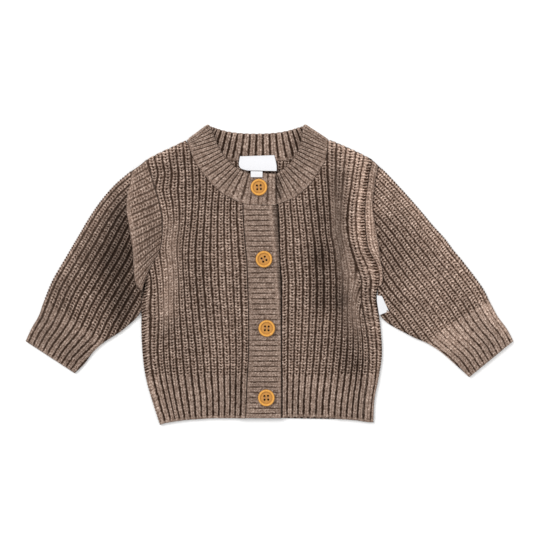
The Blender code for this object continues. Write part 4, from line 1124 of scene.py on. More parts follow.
def knit_band(name, left_edge, right_edge, base, steps, settings, material, node):
    """A straight strip with its ribs across it, plain along both edges.

    It is pressed in under the three lower buttons and dented at their buttonholes.
    """
    depth = settings.band_rib_depth / MM
    count = BAND_RIBS * steps
    rib = np.linspace(0, BAND_RIBS, count + 1)[:, None]
    y = mixed(BAND_BOTTOM, BAND_TOP, rib / BAND_RIBS)
    left, right = left_edge(y), right_edge(y)
    shares = np.concatenate([[0, 0.01, 0.025], np.linspace(0.05, 0.95, 41), [0.975, 0.99, 1.0]])
    x = left + (right - left) * shares[None, :]
    y = y + smooth_step(y, 62.0, BAND_TOP) * np.interp(x, *zip(*BAND_CORNER))
    turned = np.interp(y, *zip(*BAND_TURNED))
    rib = rib + 0.05 * uneven(rib, x / 8, 31)
    row = (x - left) / (settings.stitch_height / MM)
    relief = fine_rib(rib, row, 0.07)
    to_left, to_right = x - left, right - x
    plain = smooth_step(to_left, 2.2, 6.5) * smooth_step(to_right - turned, 2.6, 4.6)
    chain = np.exp(-((to_right - turned - 1.3) / 1.1) ** 2)
    turned_share = 1 - smooth_step(to_right, 0.4 * turned, turned + 0.3)
    for button_x, button_y, _ in BUTTONS:
        plain = plain * smooth_step(np.hypot(x - button_x, y - button_y), 8.0, 13.5)
    edge_wave = np.cos(2 * math.pi * y / EDGE_STITCH)
    edge_stitch = 0.55 + 0.18 * edge_wave
    relief = mixed(edge_stitch, mixed(0.35, 1.0, 0.85) * relief, plain * 0.85)
    height = base + BAND_GROOVE + depth * relief - 0.9 * turned_share
    for button_x, button_y, _ in BUTTONS[1:]:
        beside = np.maximum(np.abs(x - button_x) - BUTTONHOLE_HALF_LENGTH, 0.0)
        away = np.hypot(beside, (y - (button_y + BUTTONHOLE_ABOVE)) / 0.8)
        height = height - np.exp(-away ** 2)
        press = np.hypot(x - button_x, y - button_y)
        height = height - 0.5 * (1 - smooth_step(press, 6.0, 14.0))
    ends = np.minimum(y - BAND_BOTTOM, (BAND_RIBS - rib) * BAND_RIB_PITCH + 0.8)
    rim = rounded(to_left, 1.4) * rounded(to_right, 1.8) * rounded(ends, 1.4)
    height = mixed(base + 0.5, height, rim)
    top = np.dstack([x, y, height])
    last = np.full(count + 1, len(shares) - 1)
    bead = 0.5 + 0.5 * edge_wave
    # Painted shade: the whole band a little darker, the turned-down strip dark as its shadow, and
    # painted light on the edge chain's beads.
    low = 0.36 - 0.55 * chain * (0.4 + 0.6 * bead) + turned_share * (1.5 - 0.8 * bead)
    form = np.dstack([np.full_like(relief, 1.9), 0.50 * plain, low])
    return clipped_shell(name, top, np.dstack([rib, row]), form, last,
                         list(range(0, count + 1, 4)), lambda c, r: np.full(len(r), base),
                         material, node)


# Buttons --------------------------------------------------------------------------------------
BUTTON_FOOT = 8.6               # height of a button's underside
HOLE_RADIUS = 1.15
HOLE_SPACING = 3.9
THREAD_RADIUS = 0.19
TWIN_SPACING = 0.24             # of the two threads of a stitch from its middle
# Radius and height of the turned outline: a sunk middle inside a raised rim.
BUTTON_PROFILE = (
    (0.0, 1.6), (4.4, 1.6), (5.4, 1.45), (5.9, 1.4), (6.3, 1.8), (6.7, 2.7), (7.2, 3.25),
    (7.7, 3.4), (8.2, 3.2), (8.6, 2.75), (8.9, 2.1), (9.0, 1.5), (8.8, 0.8), (8.4, 0.3),
    (7.6, 0.0), (0.0, 0.0),
)
# Radius and strength of the shade painted on the wood: in the sunk middle and the ring, and at the
# rim's outer edge.
PAINTED_BUTTON_SHADE = ((0.0, 1.00), (4.4, 0.72), (5.4, 0.80), (5.9, 1.1), (6.3, 0.75), (6.7, 0.25), (7.2, 0.0),
         (8.2, 0.0), (8.6, 0.35), (8.9, 0.9), (9.0, 1.1))


def turned_disc(name, profile, steps):
    """A mesh turned about Z from a profile of radius and height."""
    work = bmesh.new()
    ring = [work.verts.new((radius * MM, 0.0, height * MM)) for radius, height in profile]
    edges = [work.edges.new(pair) for pair in zip(ring, ring[1:])]
    bmesh.ops.spin(work, geom=ring + edges, cent=(0, 0, 0), axis=(0, 0, 1),
                   angle=2 * math.pi, steps=steps, use_merge=True)
    bmesh.ops.remove_doubles(work, verts=work.verts, dist=0.00001)
    bmesh.ops.recalc_face_normals(work, faces=work.faces)
    mesh = bpy.data.meshes.new(name)
    work.to_mesh(mesh)
    work.free()
    return mesh


def cones_at_holes(work, segments, foot_radius, top_radius, depth, height):
    """An upright cone, or cylinder, about each of the four holes."""
    for sx in (-1, 1):
        for sy in (-1, 1):
            made = bmesh.ops.create_cone(work, cap_ends=True, segments=segments, depth=depth * MM,
                                         radius1=foot_radius * MM, radius2=top_radius * MM)
            bmesh.ops.translate(work, verts=made["verts"], vec=(
                sx * HOLE_SPACING / 2 * MM, sy * HOLE_SPACING / 2 * MM, height * MM))


def turn_button(number, place, material, thread_material):
    """A turned disc with four drilled holes, sewn on with thread."""
    name = "wooden_button_%d" % number
    disc = new_object(name, turned_disc(name, BUTTON_PROFILE, 72))
    holes = bmesh.new()
    cones_at_holes(holes, 24, HOLE_RADIUS, HOLE_RADIUS, 12, 0.0)
    cutter_mesh = bpy.data.meshes.new(name + "_cutter")
    holes.to_mesh(cutter_mesh)
    holes.free()
    cutter = new_object(name + "_cutter", cutter_mesh)
    cut = disc.modifiers.new("sewing_holes", "BOOLEAN")
    cut.object = cutter
    bpy.context.view_layer.update()
    drilled = bpy.data.meshes.new_from_object(disc.evaluated_get(
        bpy.context.evaluated_depsgraph_get()))
    disc.modifiers.clear()
    disc.data = drilled
    bpy.data.objects.remove(cutter)
    drilled.materials.clear()
    drilled.materials.append(material)
    drilled.shade_smooth()
    drilled.set_sharp_from_angle(angle=math.radians(40))
    paint_button_shade(disc)
    place_on_cloth(disc, *place, BUTTON_FOOT)
    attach(disc, BODY)
    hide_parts("button_%d" % number)
    sew_button(number, place, thread_material)


def paint_button_shade(disc):
    """Painted shade in the ring, round the rim's outer edge and, near black, down the holes."""
    x, y, z = np.array([vertex.co for vertex in disc.data.vertices]).T / MM
    painted_button_shade = np.interp(np.hypot(x, y), *zip(*PAINTED_BUTTON_SHADE))
    to_hole = np.hypot(np.abs(x) - HOLE_SPACING / 2, np.abs(y) - HOLE_SPACING / 2)
    # Painted shadow down the holes, near black below the top face.
    painted_button_shade = np.where(to_hole < HOLE_RADIUS + 0.05, mixed(3.0, 1.2, smooth_step(z, 1.0, 1.5)), painted_button_shade)
    set_point_values(disc.data, "painted_button_shade", painted_button_shade)


def place_on_cloth(piece, across, height, turn, foot):
    """Moves a mesh made about the origin to its place on the garment."""
    angle = math.radians(turn)
    count = len(piece.data.vertices)
    points = np.empty(count * 3, np.float32)
    piece.data.vertices.foreach_get("co", points)
    points = points.reshape(-1, 3)
    x = points[:, 0] * math.cos(angle) - points[:, 1] * math.sin(angle) + across * MM
    y = (points[:, 0] * math.sin(angle) + points[:, 1] * math.cos(angle)
         + (height - FOOTPRINT_CENTRE_Y) * MM)
    moved = np.column_stack([x, y, points[:, 2] + foot * MM]).astype(np.float32)
    piece.data.vertices.foreach_set("co", moved.ravel())
    piece.data.update()


def strand(work, path):
    """A round strand of thread through the points of a path, closed at both ends."""
    sideways = np.array((1, 0, 0))
    ring_before = None
    for i, point in enumerate(path):
        before, after = path[max(i - 1, 0)], path[min(i + 1, len(path) - 1)]
        way = np.array(after) - np.array(before)
        way /= np.linalg.norm(way)
        normal = np.cross(way, sideways)
        ring = []
        for k in range(8):
            angle = k * math.pi / 4
            spot = np.array(point) + THREAD_RADIUS * (math.cos(angle) * sideways
                                                      + math.sin(angle) * normal)
            ring.append(work.verts.new(spot * MM))
        if ring_before:
            for k in range(8):
                work.faces.new((ring_before[k], ring_before[(k + 1) % 8],
                                ring[(k + 1) % 8], ring[k]))
        else:
            work.faces.new(ring)
        ring_before = ring
    work.faces.new(ring_before[::-1])


def sew_button(number, place, material):
    """Two doubled stitches of thread, each over one pair of holes, which they fill."""
    name = "button_thread_%d" % number
    work = bmesh.new()
    reach = HOLE_SPACING / 2
    for side in (-1, 1):
        for twin in (-TWIN_SPACING, TWIN_SPACING):
            x = side * HOLE_SPACING / 2 + twin
            strand(work, [(x, -reach + 0.5, 0.3), (x, -reach + 0.75, 1.35), (x, -reach + 1.1, 1.85),
                          (x, 0.0, 1.95), (x, reach - 1.1, 1.85), (x, reach - 0.75, 1.35),
                          (x, reach - 0.5, 0.3)])
    cones_at_holes(work, 16, 1.0, 0.7, 0.6, 0.3)
    bmesh.ops.recalc_face_normals(work, faces=work.faces)
    mesh = bpy.data.meshes.new(name)
    work.to_mesh(mesh)
    work.free()
    mesh.shade_smooth()
    mesh.materials.append(material)
    # Painted shade: the thread darkens down towards the holes.
    above = np.array([vertex.co.z for vertex in mesh.vertices]) / MM
    set_point_values(mesh, "shade", smooth_step(above, 0.6, 1.6))
    thread = new_object(name, mesh)
    place_on_cloth(thread, *place, BUTTON_FOOT)
    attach(thread, BODY)


# Labels ---------------------------------------------------------------------------------------
LABEL_GRID = (40, 60)           # points from the sewn end to the free end, and across
LABEL_WEAVE = 0.4               # pitch of the weave
LABEL_THICKNESS = 0.6


def weave_label(name, table, curl, material, node):
    """A bare woven label with rounded edges and a soft curl."""
    along, across = LABEL_GRID
    lines = eased_rows(table, np.linspace(0, len(table) - 1, along))
    shares = np.linspace(0, 1, across)[None, :]
    x = mixed(lines[:, 0:1], lines[:, 1:2], shares)
    y = mixed(lines[:, 2:3], lines[:, 3:4], shares)
    z = lines[:, 4:5] + curl * (2 * shares - 1) ** 4
    rib = (x - x.min()) / LABEL_WEAVE
    row = (y - y.min()) / LABEL_WEAVE
    from_end = np.minimum(np.arange(along), np.arange(along)[::-1])[:, None]
    rim = np.minimum(np.minimum(shares, 1 - shares) * (x.max() - x.min()), from_end * LABEL_WEAVE)
    half = 0.5 * LABEL_THICKNESS * rounded(rim, 0.3)
    outer = np.dstack([x, y, z + LABEL_THICKNESS / 2 + half])
    inner = np.dstack([x, y, z + LABEL_THICKNESS / 2 - half])
    return two_faced(name, outer, inner, np.dstack([rib, row]), np.zeros((*x.shape, 3)),
                     material, node)


# Materials ------------------------------------------------------------------------------------
def new_group(name, inputs, outputs):
    """An empty shader node group with its sockets, and its input and output nodes."""
    tree = bpy.data.node_groups.new(name, "ShaderNodeTree")
    for label, kind, default in inputs:
        socket = tree.interface.new_socket(label, in_out="INPUT", socket_type=kind)
        if default is not None:
            socket.default_value = default
    for label, kind in outputs:
        tree.interface.new_socket(label, in_out="OUTPUT", socket_type=kind)
    return tree, tree.nodes.new("NodeGroupInput"), tree.nodes.new("NodeGroupOutput")


def add_node(tree, kind, **values):
    """A node with some of its properties, and its inputs by number or name, set."""
    node = tree.nodes.new(kind)
    for key, value in values.items():
        if key.startswith("in_"):
            socket = key[3:]
            node.inputs[int(socket) if socket.isdigit() else socket].default_value = value
        else:
            setattr(node, key, value)
    return node


def math_node(tree, operation, first, second):
    """Result of a calculation on values or numbers."""
    node = tree.nodes.new("ShaderNodeMath")
    node.operation = operation
    for socket, value in ((node.inputs[0], first), (node.inputs[1], second)):
        if isinstance(value, (int, float)):
            socket.default_value = value
        else:
            tree.links.new(value, socket)
    return node.outputs[0]


def mix_colours(tree, factor, first, second, blend="MIX"):
    """Two colours, mixed."""
    node = tree.nodes.new("ShaderNodeMix")
    node.data_type = "RGBA"
    node.blend_type = blend
    for socket, value in ((node.inputs[0], factor), (node.inputs[6], first),
                          (node.inputs[7], second)):
        if hasattr(value, "is_output"):
            tree.links.new(value, socket)
        else:
            socket.default_value = value
    return node.outputs[2]


def noise(tree, vector, scale, detail=2.0, roughness=0.5):
    """Noise over a vector."""
    node = add_node(tree, "ShaderNodeTexNoise", in_Scale=scale, in_Detail=detail,
                    in_Roughness=roughness)
    tree.links.new(vector, node.inputs["Vector"])
    return node.outputs["Fac"]


def ranged(tree, value, low, high, to_low=0.0, to_high=1.0):
    """A value carried from one range to another, held inside it."""
    node = add_node(tree, "ShaderNodeMapRange", clamp=True)
    tree.links.new(value, node.inputs[0])
    for socket, number in zip(list(node.inputs)[1:5], (low, high, to_low, to_high)):
        socket.default_value = number
    return node.outputs[0]


def soft_range(tree, value, low, high, to_low=0.0, to_high=1.0):
    """As ranged, with soft ends; low may lie above high."""
    if low > high:
        low, high, to_low, to_high = high, low, to_high, to_low
    result = ranged(tree, value, low, high, to_low, to_high)
    result.node.interpolation_type = "SMOOTHSTEP"
    return result


def stretched_vector(tree, vector, scale):
    """A vector with its own scale on each axis."""
    node = add_node(tree, "ShaderNodeMapping")
    node.inputs["Scale"].default_value = scale
    tree.links.new(vector, node.inputs["Vector"])
    return node.outputs[0]


def shaded(tree, colour, shade):
    """A colour made darker or lighter by a value."""
    grey = add_node(tree, "ShaderNodeCombineColor")
    for socket in grey.inputs[:3]:
        tree.links.new(shade, socket)
    return mix_colours(tree, 1.0, colour, grey.outputs[0], "MULTIPLY")


def point_value(tree, name):
    """A value that the mesh holds at its points."""
    return add_node(tree, "ShaderNodeAttribute", attribute_name=name).outputs["Fac"]


def stitch_group():
    """Stitches of a rib: light legs in a V, a hole between them and a groove beside, both darkened as
    painted shade.
    """
    tree, given, made = new_group(
        "Rib Stitches",
        (("Knit", "NodeSocketVector", None), ("Where", "NodeSocketVector", None),
         ("Fine Rib", "NodeSocketFloat", 0.0), ("Rib Strength", "NodeSocketFloat", 1.0),
         ("Painted Fold Shade", "NodeSocketFloat", 0.0)),
        (("Shade", "NodeSocketFloat"), ("Height", "NodeSocketFloat")))
    split = tree.nodes.new("ShaderNodeSeparateXYZ")
    tree.links.new(given.outputs["Knit"], split.inputs[0])
    drift = add_node(tree, "ShaderNodeTexNoise", in_Scale=330.0, in_Detail=1.0)
    tree.links.new(given.outputs["Where"], drift.inputs["Vector"])
    parts = tree.nodes.new("ShaderNodeSeparateColor")
    tree.links.new(drift.outputs["Color"], parts.inputs[0])
    rib = math_node(tree, "ADD", split.outputs["X"],
                    ranged(tree, parts.outputs[0], 0.25, 0.75, -0.06, 0.06))
    row = math_node(tree, "ADD", split.outputs["Y"],
                    ranged(tree, parts.outputs[1], 0.25, 0.75, -0.28, 0.28))
    across = math_node(tree, "PINGPONG", rib, 0.5)
    inward = math_node(tree, "SUBTRACT", 0.5, across)

    def wave(turns):
        """A wave from 0 to 1, highest at whole turns."""
        turned = math_node(tree, "MULTIPLY", turns, 2 * math.pi)
        return ranged(tree, math_node(tree, "COSINE", turned, 0.0), -1.0, 1.0)

    cell = tree.nodes.new("ShaderNodeCombineXYZ")
    for source, factor, socket in ((rib, 2.0, 0), (row, 1.0, 1)):
        whole = math_node(tree, "FLOOR", math_node(tree, "MULTIPLY", source, factor), 0.0)
        tree.links.new(whole, cell.inputs[socket])
    chance = add_node(tree, "ShaderNodeTexWhiteNoise", noise_dimensions="2D")
    tree.links.new(cell.outputs[0], chance.inputs["Vector"])
    lot = ranged(tree, chance.outputs["Value"], 0.0, 1.0, 0.80, 1.06)
    narrow = ranged(tree, given.outputs["Fine Rib"], 1.0, 2.0, 0.0, 0.07)
    uneven_width = ranged(tree, parts.outputs[2], 0.3, 0.7, -0.05, 0.05)
    # Painted shade: grooves widen, and so darken, where the cloth sinks, and narrow where it stands
    # up.
    opened = ranged(tree, given.outputs["Painted Fold Shade"], -1.0, 1.0, 0.055, -0.055)
    walled = math_node(tree, "ADD", math_node(tree, "ADD", across, uneven_width),
                       math_node(tree, "ADD", narrow, opened))

    leg = wave(math_node(tree, "SUBTRACT", math_node(tree, "SUBTRACT", row, 0.5),
                         math_node(tree, "MULTIPLY", inward, 0.8)))
    hole = math_node(tree, "MULTIPLY", soft_range(tree, inward, 0.18, 0.04),
                     soft_range(tree, wave(row), 0.20, 0.75))
    bridge = math_node(tree, "MULTIPLY", wave(math_node(tree, "SUBTRACT", row, 0.5)), 0.22)
    # Painted shade: the colour falls to dark in the groove and in the hole between the legs.
    wall = soft_range(tree, walled, 0.03, 0.22)
    wide = math_node(tree, "MULTIPLY", wall, ranged(tree, leg, 0.0, 1.0, 0.52, 1.0))
    wide = math_node(tree, "MULTIPLY", wide, soft_range(tree, inward, 0.02, 0.14, 0.80, 1.0))
    wide = math_node(tree, "MULTIPLY", wide, ranged(tree, hole, 0.0, 1.0, 1.0, 0.05))
    wide = math_node(tree, "MAXIMUM", wide, bridge)
    slanted = wave(math_node(tree, "ADD", row, math_node(tree, "MULTIPLY", across, 1.1)))
    fine = math_node(tree, "MULTIPLY", soft_range(tree, walled, 0.07, 0.22),
                     ranged(tree, slanted, 0.0, 1.0, 0.76, 1.0))
    fine = math_node(tree, "MULTIPLY", fine, soft_range(tree, inward, 0.0, 0.09, 0.52, 1.0))
    kind = tree.nodes.new("ShaderNodeMix")
    kind.clamp_factor = True
    tree.links.new(given.outputs["Fine Rib"], kind.inputs[0])
    tree.links.new(wide, kind.inputs[2])
    tree.links.new(fine, kind.inputs[3])
    strength = tree.nodes.new("ShaderNodeMix")
    tree.links.new(given.outputs["Rib Strength"], strength.inputs[0])
    tree.links.new(ranged(tree, kind.outputs[0], 0.0, 1.0, 0.55, 0.85), strength.inputs[2])
    tree.links.new(kind.outputs[0], strength.inputs[3])
    tree.links.new(math_node(tree, "MULTIPLY", strength.outputs[0], lot), made.inputs["Shade"])
    tree.links.new(strength.outputs[0], made.inputs["Height"])
    return tree


def heather_group():
    """Heathered yarn: fibres of three shades spun together, with painted shade that darkens grooves,
    holes and sunk folds and painted light where the cloth stands up.
    """
    tree, given, made = new_group(
        "Heathered Yarn",
        (("Vector", "NodeSocketVector", None), ("Yarn", "NodeSocketColor", (0.3, 0.2, 0.2, 1)),
         ("Light Fibre", "NodeSocketColor", (0.5, 0.4, 0.4, 1)),
         ("Dark Fibre", "NodeSocketColor", (0.1, 0.1, 0.1, 1)),
         ("Shade", "NodeSocketFloat", 1.0), ("Painted Fold Shade", "NodeSocketFloat", 0.0)),
        (("Color", "NodeSocketColor"),))
    vector = given.outputs["Vector"]
    light = ranged(tree, noise(tree, vector, 640.0, 3.0, 0.7), 0.46, 0.64)
    dark = ranged(tree, noise(tree, stretched_vector(tree, vector, (1.3, 0.8, 1.0)), 760.0, 2.0),
                  0.50, 0.66)
    slow = ranged(tree, noise(tree, vector, 22.0, 2.0), 0.3, 0.7, 0.92, 1.07)
    fibre = ranged(tree, noise(tree, stretched_vector(tree, vector, (1.0, 0.35, 1.0)), 2600.0, 1.0),
                   0.35, 0.65, 0.82, 1.16)
    colour = mix_colours(tree, math_node(tree, "MULTIPLY", light, 0.9),
                         given.outputs["Yarn"], given.outputs["Light Fibre"])
    colour = mix_colours(tree, math_node(tree, "MULTIPLY", dark, 0.75), colour,
                         given.outputs["Dark Fibre"])
    shade = math_node(tree, "MULTIPLY", slow, fibre)
    # Painted shade: the stitches' Shade darkens the colour to the dark fibre in grooves and holes; the
    # folds' value darkens it further where the cloth sinks and lightens it where it stands up.
    lit = math_node(tree, "POWER", given.outputs["Shade"], 1.25)
    colour = mix_colours(tree, lit, given.outputs["Dark Fibre"], colour)
    shade = math_node(tree, "MULTIPLY", shade,
                      ranged(tree, given.outputs["Shade"], 0.0, 1.0, 0.30, 1.25))
    shade = math_node(tree, "MULTIPLY", shade,
                      ranged(tree, given.outputs["Painted Fold Shade"], -2.0, 2.0, 1.70, 0.32))
    tree.links.new(shaded(tree, colour, shade), made.inputs["Color"])
    return tree


def yarn_group():
    """Height of spun yarn: single fibres and stray fuzz over the stitches' own height."""
    tree, given, made = new_group(
        "Spun Yarn", (("Vector", "NodeSocketVector", None), ("Stitch", "NodeSocketFloat", 1.0)),
        (("Height", "NodeSocketFloat"),))
    fine = noise(tree, given.outputs["Vector"], 1900.0, 3.0, 0.7)
    coarse = noise(tree, given.outputs["Vector"], 700.0, 2.0)
    total = math_node(tree, "ADD", math_node(tree, "MULTIPLY", given.outputs["Stitch"], 0.9),
                      math_node(tree, "MULTIPLY", fine, 0.45))
    total = math_node(tree, "ADD", total, math_node(tree, "MULTIPLY", coarse, 0.45))
    tree.links.new(total, made.inputs["Height"])
    return tree


def wood_group():
    """Turned wood: long grain lines, short pores, a warm drift of colour, and painted shade."""
    tree, given, made = new_group(
        "Wood Grain",
        (("Vector", "NodeSocketVector", None), ("Painted Button Shade", "NodeSocketFloat", 0.0),
         ("Wood", "NodeSocketColor", (0.6, 0.3, 0.1, 1)),
         ("Dark Grain", "NodeSocketColor", (0.3, 0.1, 0.05, 1))),
        (("Color", "NodeSocketColor"), ("Height", "NodeSocketFloat")))
    long_way = stretched_vector(tree, given.outputs["Vector"], (1.0, 0.12, 1.0))
    grain = noise(tree, long_way, 900.0, 4.0, 0.6)
    pores = noise(tree, stretched_vector(tree, given.outputs["Vector"], (1.0, 0.3, 1.0)), 2200.0)
    dark = math_node(tree, "ADD", ranged(tree, grain, 0.45, 0.75, 0.0, 0.6),
                     ranged(tree, pores, 0.6, 0.8, 0.0, 0.35))
    colour = mix_colours(tree, dark, given.outputs["Wood"], given.outputs["Dark Grain"])
    # Painted shade: darker towards the dark grain colour, then near black down the holes.
    colour = mix_colours(tree, ranged(tree, given.outputs["Painted Button Shade"], 0.0, 1.0, 0.0, 0.75), colour,
                         given.outputs["Dark Grain"])
    colour = mix_colours(tree, ranged(tree, given.outputs["Painted Button Shade"], 1.0, 3.0, 0.0, 0.9), colour,
                         (0.02, 0.01, 0.005, 1))
    tree.links.new(colour, made.inputs["Color"])
    tree.links.new(grain, made.inputs["Height"])
    return tree


def weave_group():
    """Satin weave: fine threads over and under one another."""
    tree, given, made = new_group(
        "Woven Satin", (("Vector", "NodeSocketVector", None),
                        ("Thread", "NodeSocketColor", (0.8, 0.8, 0.8, 1))),
        (("Color", "NodeSocketColor"), ("Height", "NodeSocketFloat")))
    warp = add_node(tree, "ShaderNodeTexWave", bands_direction="X", in_Scale=0.5,
                    in_Distortion=0.4)
    weft = add_node(tree, "ShaderNodeTexWave", bands_direction="Y", in_Scale=0.5,
                    in_Distortion=0.4)
    for node in (warp, weft):
        tree.links.new(given.outputs["Vector"], node.inputs["Vector"])
    height = math_node(tree, "MULTIPLY", warp.outputs["Fac"], weft.outputs["Fac"])
    # Painted shade where the threads dip under.
    shade = ranged(tree, height, 0.0, 1.0, 0.93, 1.0)
    tree.links.new(shaded(tree, given.outputs["Thread"], shade), made.inputs["Color"])
    tree.links.new(height, made.inputs["Height"])
    return tree


def shared_group(name, build):
    """A node group, built the first time that it is asked for."""
    return bpy.data.node_groups.get(name) or build()


def new_material(name, roughness, sheen=0.0, specular=0.5):
    """A material with its node tree and its shader."""
    material = bpy.data.materials.new(name)
    material.use_nodes = True
    shader = material.node_tree.nodes["Principled BSDF"]
    shader.inputs["Roughness"].default_value = roughness
    shader.inputs["Metallic"].default_value = 0.0
    shader.inputs["Sheen Weight"].default_value = sheen
    shader.inputs["Sheen Roughness"].default_value = 0.6
    shader.inputs["Specular IOR Level"].default_value = specular
    return material, material.node_tree, shader


def place_group(tree, group, **values):
    """A node group placed in a material, with its inputs set."""
    node = tree.nodes.new("ShaderNodeGroup")
    node.node_tree = group
    for name, value in values.items():
        node.inputs[name.replace("_", " ")].default_value = value
    return node


def bump(tree, height, distance, strength, shader):
    """A height that stands out on the shader's surface."""
    node = add_node(tree, "ShaderNodeBump", in_Strength=strength, in_Distance=distance)
    tree.links.new(height, node.inputs["Height"])
    tree.links.new(node.outputs["Normal"], shader.inputs["Normal"])


def knit_material(settings):
    """The yarn of every knitted piece."""
    existing = bpy.data.materials.get("Heathered Knit")
    if existing:
        return existing
    material, tree, shader = new_material("Heathered Knit", settings.roughness, 0.02, 0.05)
    shader.inputs["Sheen Tint"].default_value = (*settings.light_fibre, 1)
    where = tree.nodes.new("ShaderNodeTexCoord")
    knit = add_node(tree, "ShaderNodeUVMap", uv_map="knit")
    stitches = place_group(tree, shared_group("Rib Stitches", stitch_group))
    form = {name: point_value(tree, name) for name in FORM_NAMES}
    for name, label in zip(FORM_NAMES, ("Fine Rib", "Rib Strength", "Painted Fold Shade")):
        tree.links.new(form[name], stitches.inputs[label])
    tree.links.new(knit.outputs["UV"], stitches.inputs["Knit"])
    tree.links.new(where.outputs["Object"], stitches.inputs["Where"])
    heather = place_group(tree, shared_group("Heathered Yarn", heather_group),
                          Yarn=(*settings.yarn_colour, 1), Light_Fibre=(*settings.light_fibre, 1),
                          Dark_Fibre=(*settings.dark_fibre_and_shade, 1))
    tree.links.new(where.outputs["Object"], heather.inputs["Vector"])
    tree.links.new(stitches.outputs["Shade"], heather.inputs["Shade"])
    tree.links.new(form["sunk"], heather.inputs["Painted Fold Shade"])
    tree.links.new(heather.outputs["Color"], shader.inputs["Base Color"])
    yarn = place_group(tree, shared_group("Spun Yarn", yarn_group))
    tree.links.new(where.outputs["Object"], yarn.inputs["Vector"])
    tree.links.new(stitches.outputs["Height"], yarn.inputs["Stitch"])
    bump(tree, yarn.outputs["Height"], 0.0005, 0.8, shader)
    return material


def wood_material(settings):
    """The buttons' varnished wood."""
    material, tree, shader = new_material("Varnished Wood", 0.45, 0.0, 0.15)
    where = tree.nodes.new("ShaderNodeTexCoord")
    grain = place_group(tree, shared_group("Wood Grain", wood_group),
                        Wood=(*settings.wood_colour, 1), Dark_Grain=(*settings.grain_and_shade_colour, 1))
    tree.links.new(where.outputs["Object"], grain.inputs["Vector"])
    tree.links.new(point_value(tree, "painted_button_shade"), grain.inputs["Painted Button Shade"])
    tree.links.new(grain.outputs["Color"], shader.inputs["Base Color"])
    bump(tree, grain.outputs["Height"], 0.0002, 0.35, shader)
    shader.inputs["Coat Weight"].default_value = 0.08
    return material


def thread_material(settings):
    """The thread that holds the buttons."""
    material, tree, shader = new_material("Sewing Thread", 0.9, 0.0, 0.05)
    where = tree.nodes.new("ShaderNodeTexCoord")
    # Its darkest colour is the painted shade of the thread down in the holes.
    heather = place_group(tree, shared_group("Heathered Yarn", heather_group),
                          Yarn=(*settings.thread_colour, 1),
                          Light_Fibre=(*settings.thread_colour, 1),
                          Dark_Fibre=(0.03, 0.015, 0.01, 1))
    tree.links.new(where.outputs["Object"], heather.inputs["Vector"])
    tree.links.new(point_value(tree, "shade"), heather.inputs["Shade"])
    tree.links.new(heather.outputs["Color"], shader.inputs["Base Color"])
    return material


def label_material(settings):
    """The labels' white satin."""
    material, tree, shader = new_material("Woven Label", 0.45, 0.1)
    knit = add_node(tree, "ShaderNodeUVMap", uv_map="knit")
    weave = place_group(tree, shared_group("Woven Satin", weave_group),
                        Thread=(*settings.label_colour, 1))
    tree.links.new(knit.outputs["UV"], weave.inputs["Vector"])
    tree.links.new(weave.outputs["Color"], shader.inputs["Base Color"])
    bump(tree, weave.outputs["Height"], 0.0001, 0.3, shader)
    return material


# Settings -------------------------------------------------------------------------------------
class CardiganKnitSettings(bpy.types.PropertyGroup):
    """Sizes and colours of the knit"""
    stitch_height: FloatProperty(name="Stitch Height", default=0.0031, unit="LENGTH",
                                 description="Height of one stitch along a rib")
    rib_depth: FloatProperty(name="Rib Depth", default=0.0021, unit="LENGTH",
                             description="Depth of a groove between two wide ribs")
    band_rib_depth: FloatProperty(name="Band Rib Depth", default=0.0014, unit="LENGTH",
                                  description="Depth of a groove in the neckband and front band")
    yarn_colour: FloatVectorProperty(name="Yarn", default=(0.325, 0.234, 0.187), subtype="COLOR",
                                     description="Main colour of the yarn", min=0, max=1)
    light_fibre: FloatVectorProperty(name="Light Fibre", default=(0.62, 0.49, 0.41),
                                     subtype="COLOR", min=0, max=1,
                                     description="Colour of the palest fibres in the yarn")
    # The darkest fibres' colour is also the painted shade in the grooves and holes.
    dark_fibre_and_shade: FloatVectorProperty(name="Dark Fibre", default=(0.080, 0.040, 0.023),
                                    subtype="COLOR", min=0, max=1,
                                    description="Colour of the darkest fibres in the yarn")
    roughness: FloatProperty(name="Roughness", default=0.95, min=0, max=1, subtype="FACTOR",
                             description="Roughness of the yarn")


class CardiganTrimSettings(bpy.types.PropertyGroup):
    """Colours of the buttons, their thread and the labels"""
    wood_colour: FloatVectorProperty(name="Wood", default=(0.76, 0.37, 0.075), subtype="COLOR",
                                     description="Colour of the wooden buttons", min=0, max=1)
    # The grain's colour is also the painted shade on the buttons.
    grain_and_shade_colour: FloatVectorProperty(name="Grain", default=(0.33, 0.15, 0.04), subtype="COLOR",
                                      description="Colour of the wood's grain", min=0, max=1)
    thread_colour: FloatVectorProperty(name="Thread", default=(0.36, 0.21, 0.13),
                                       subtype="COLOR", min=0, max=1,
                                       description="Colour of the thread in the buttons")
    label_colour: FloatVectorProperty(name="Label", default=(0.74, 0.74, 0.76), subtype="COLOR",
                                      description="Colour of the woven labels", min=0, max=1)


class CardiganStageSettings(bpy.types.PropertyGroup):
    """Camera, light and floor"""
    view_width: FloatProperty(name="View Width", default=0.573, unit="LENGTH",
                              description="Width of the floor that the camera sees")
    camera_height: FloatProperty(name="Camera Height", default=1.6, unit="LENGTH",
                                 description="Height of the camera over the garment")
    lamp_power: FloatProperty(name="Lamp Power", default=26.0, min=0, unit="POWER",
                              description="Power of the main soft lamp")
    sky_light: FloatProperty(name="Sky Light", default=0.72, min=0,
                             description="Strength of the even light from all round")
    floor_colour: FloatVectorProperty(name="Floor", default=(0.93, 0.93, 0.93), subtype="COLOR",
                                      description="Colour of the floor", min=0, max=1)


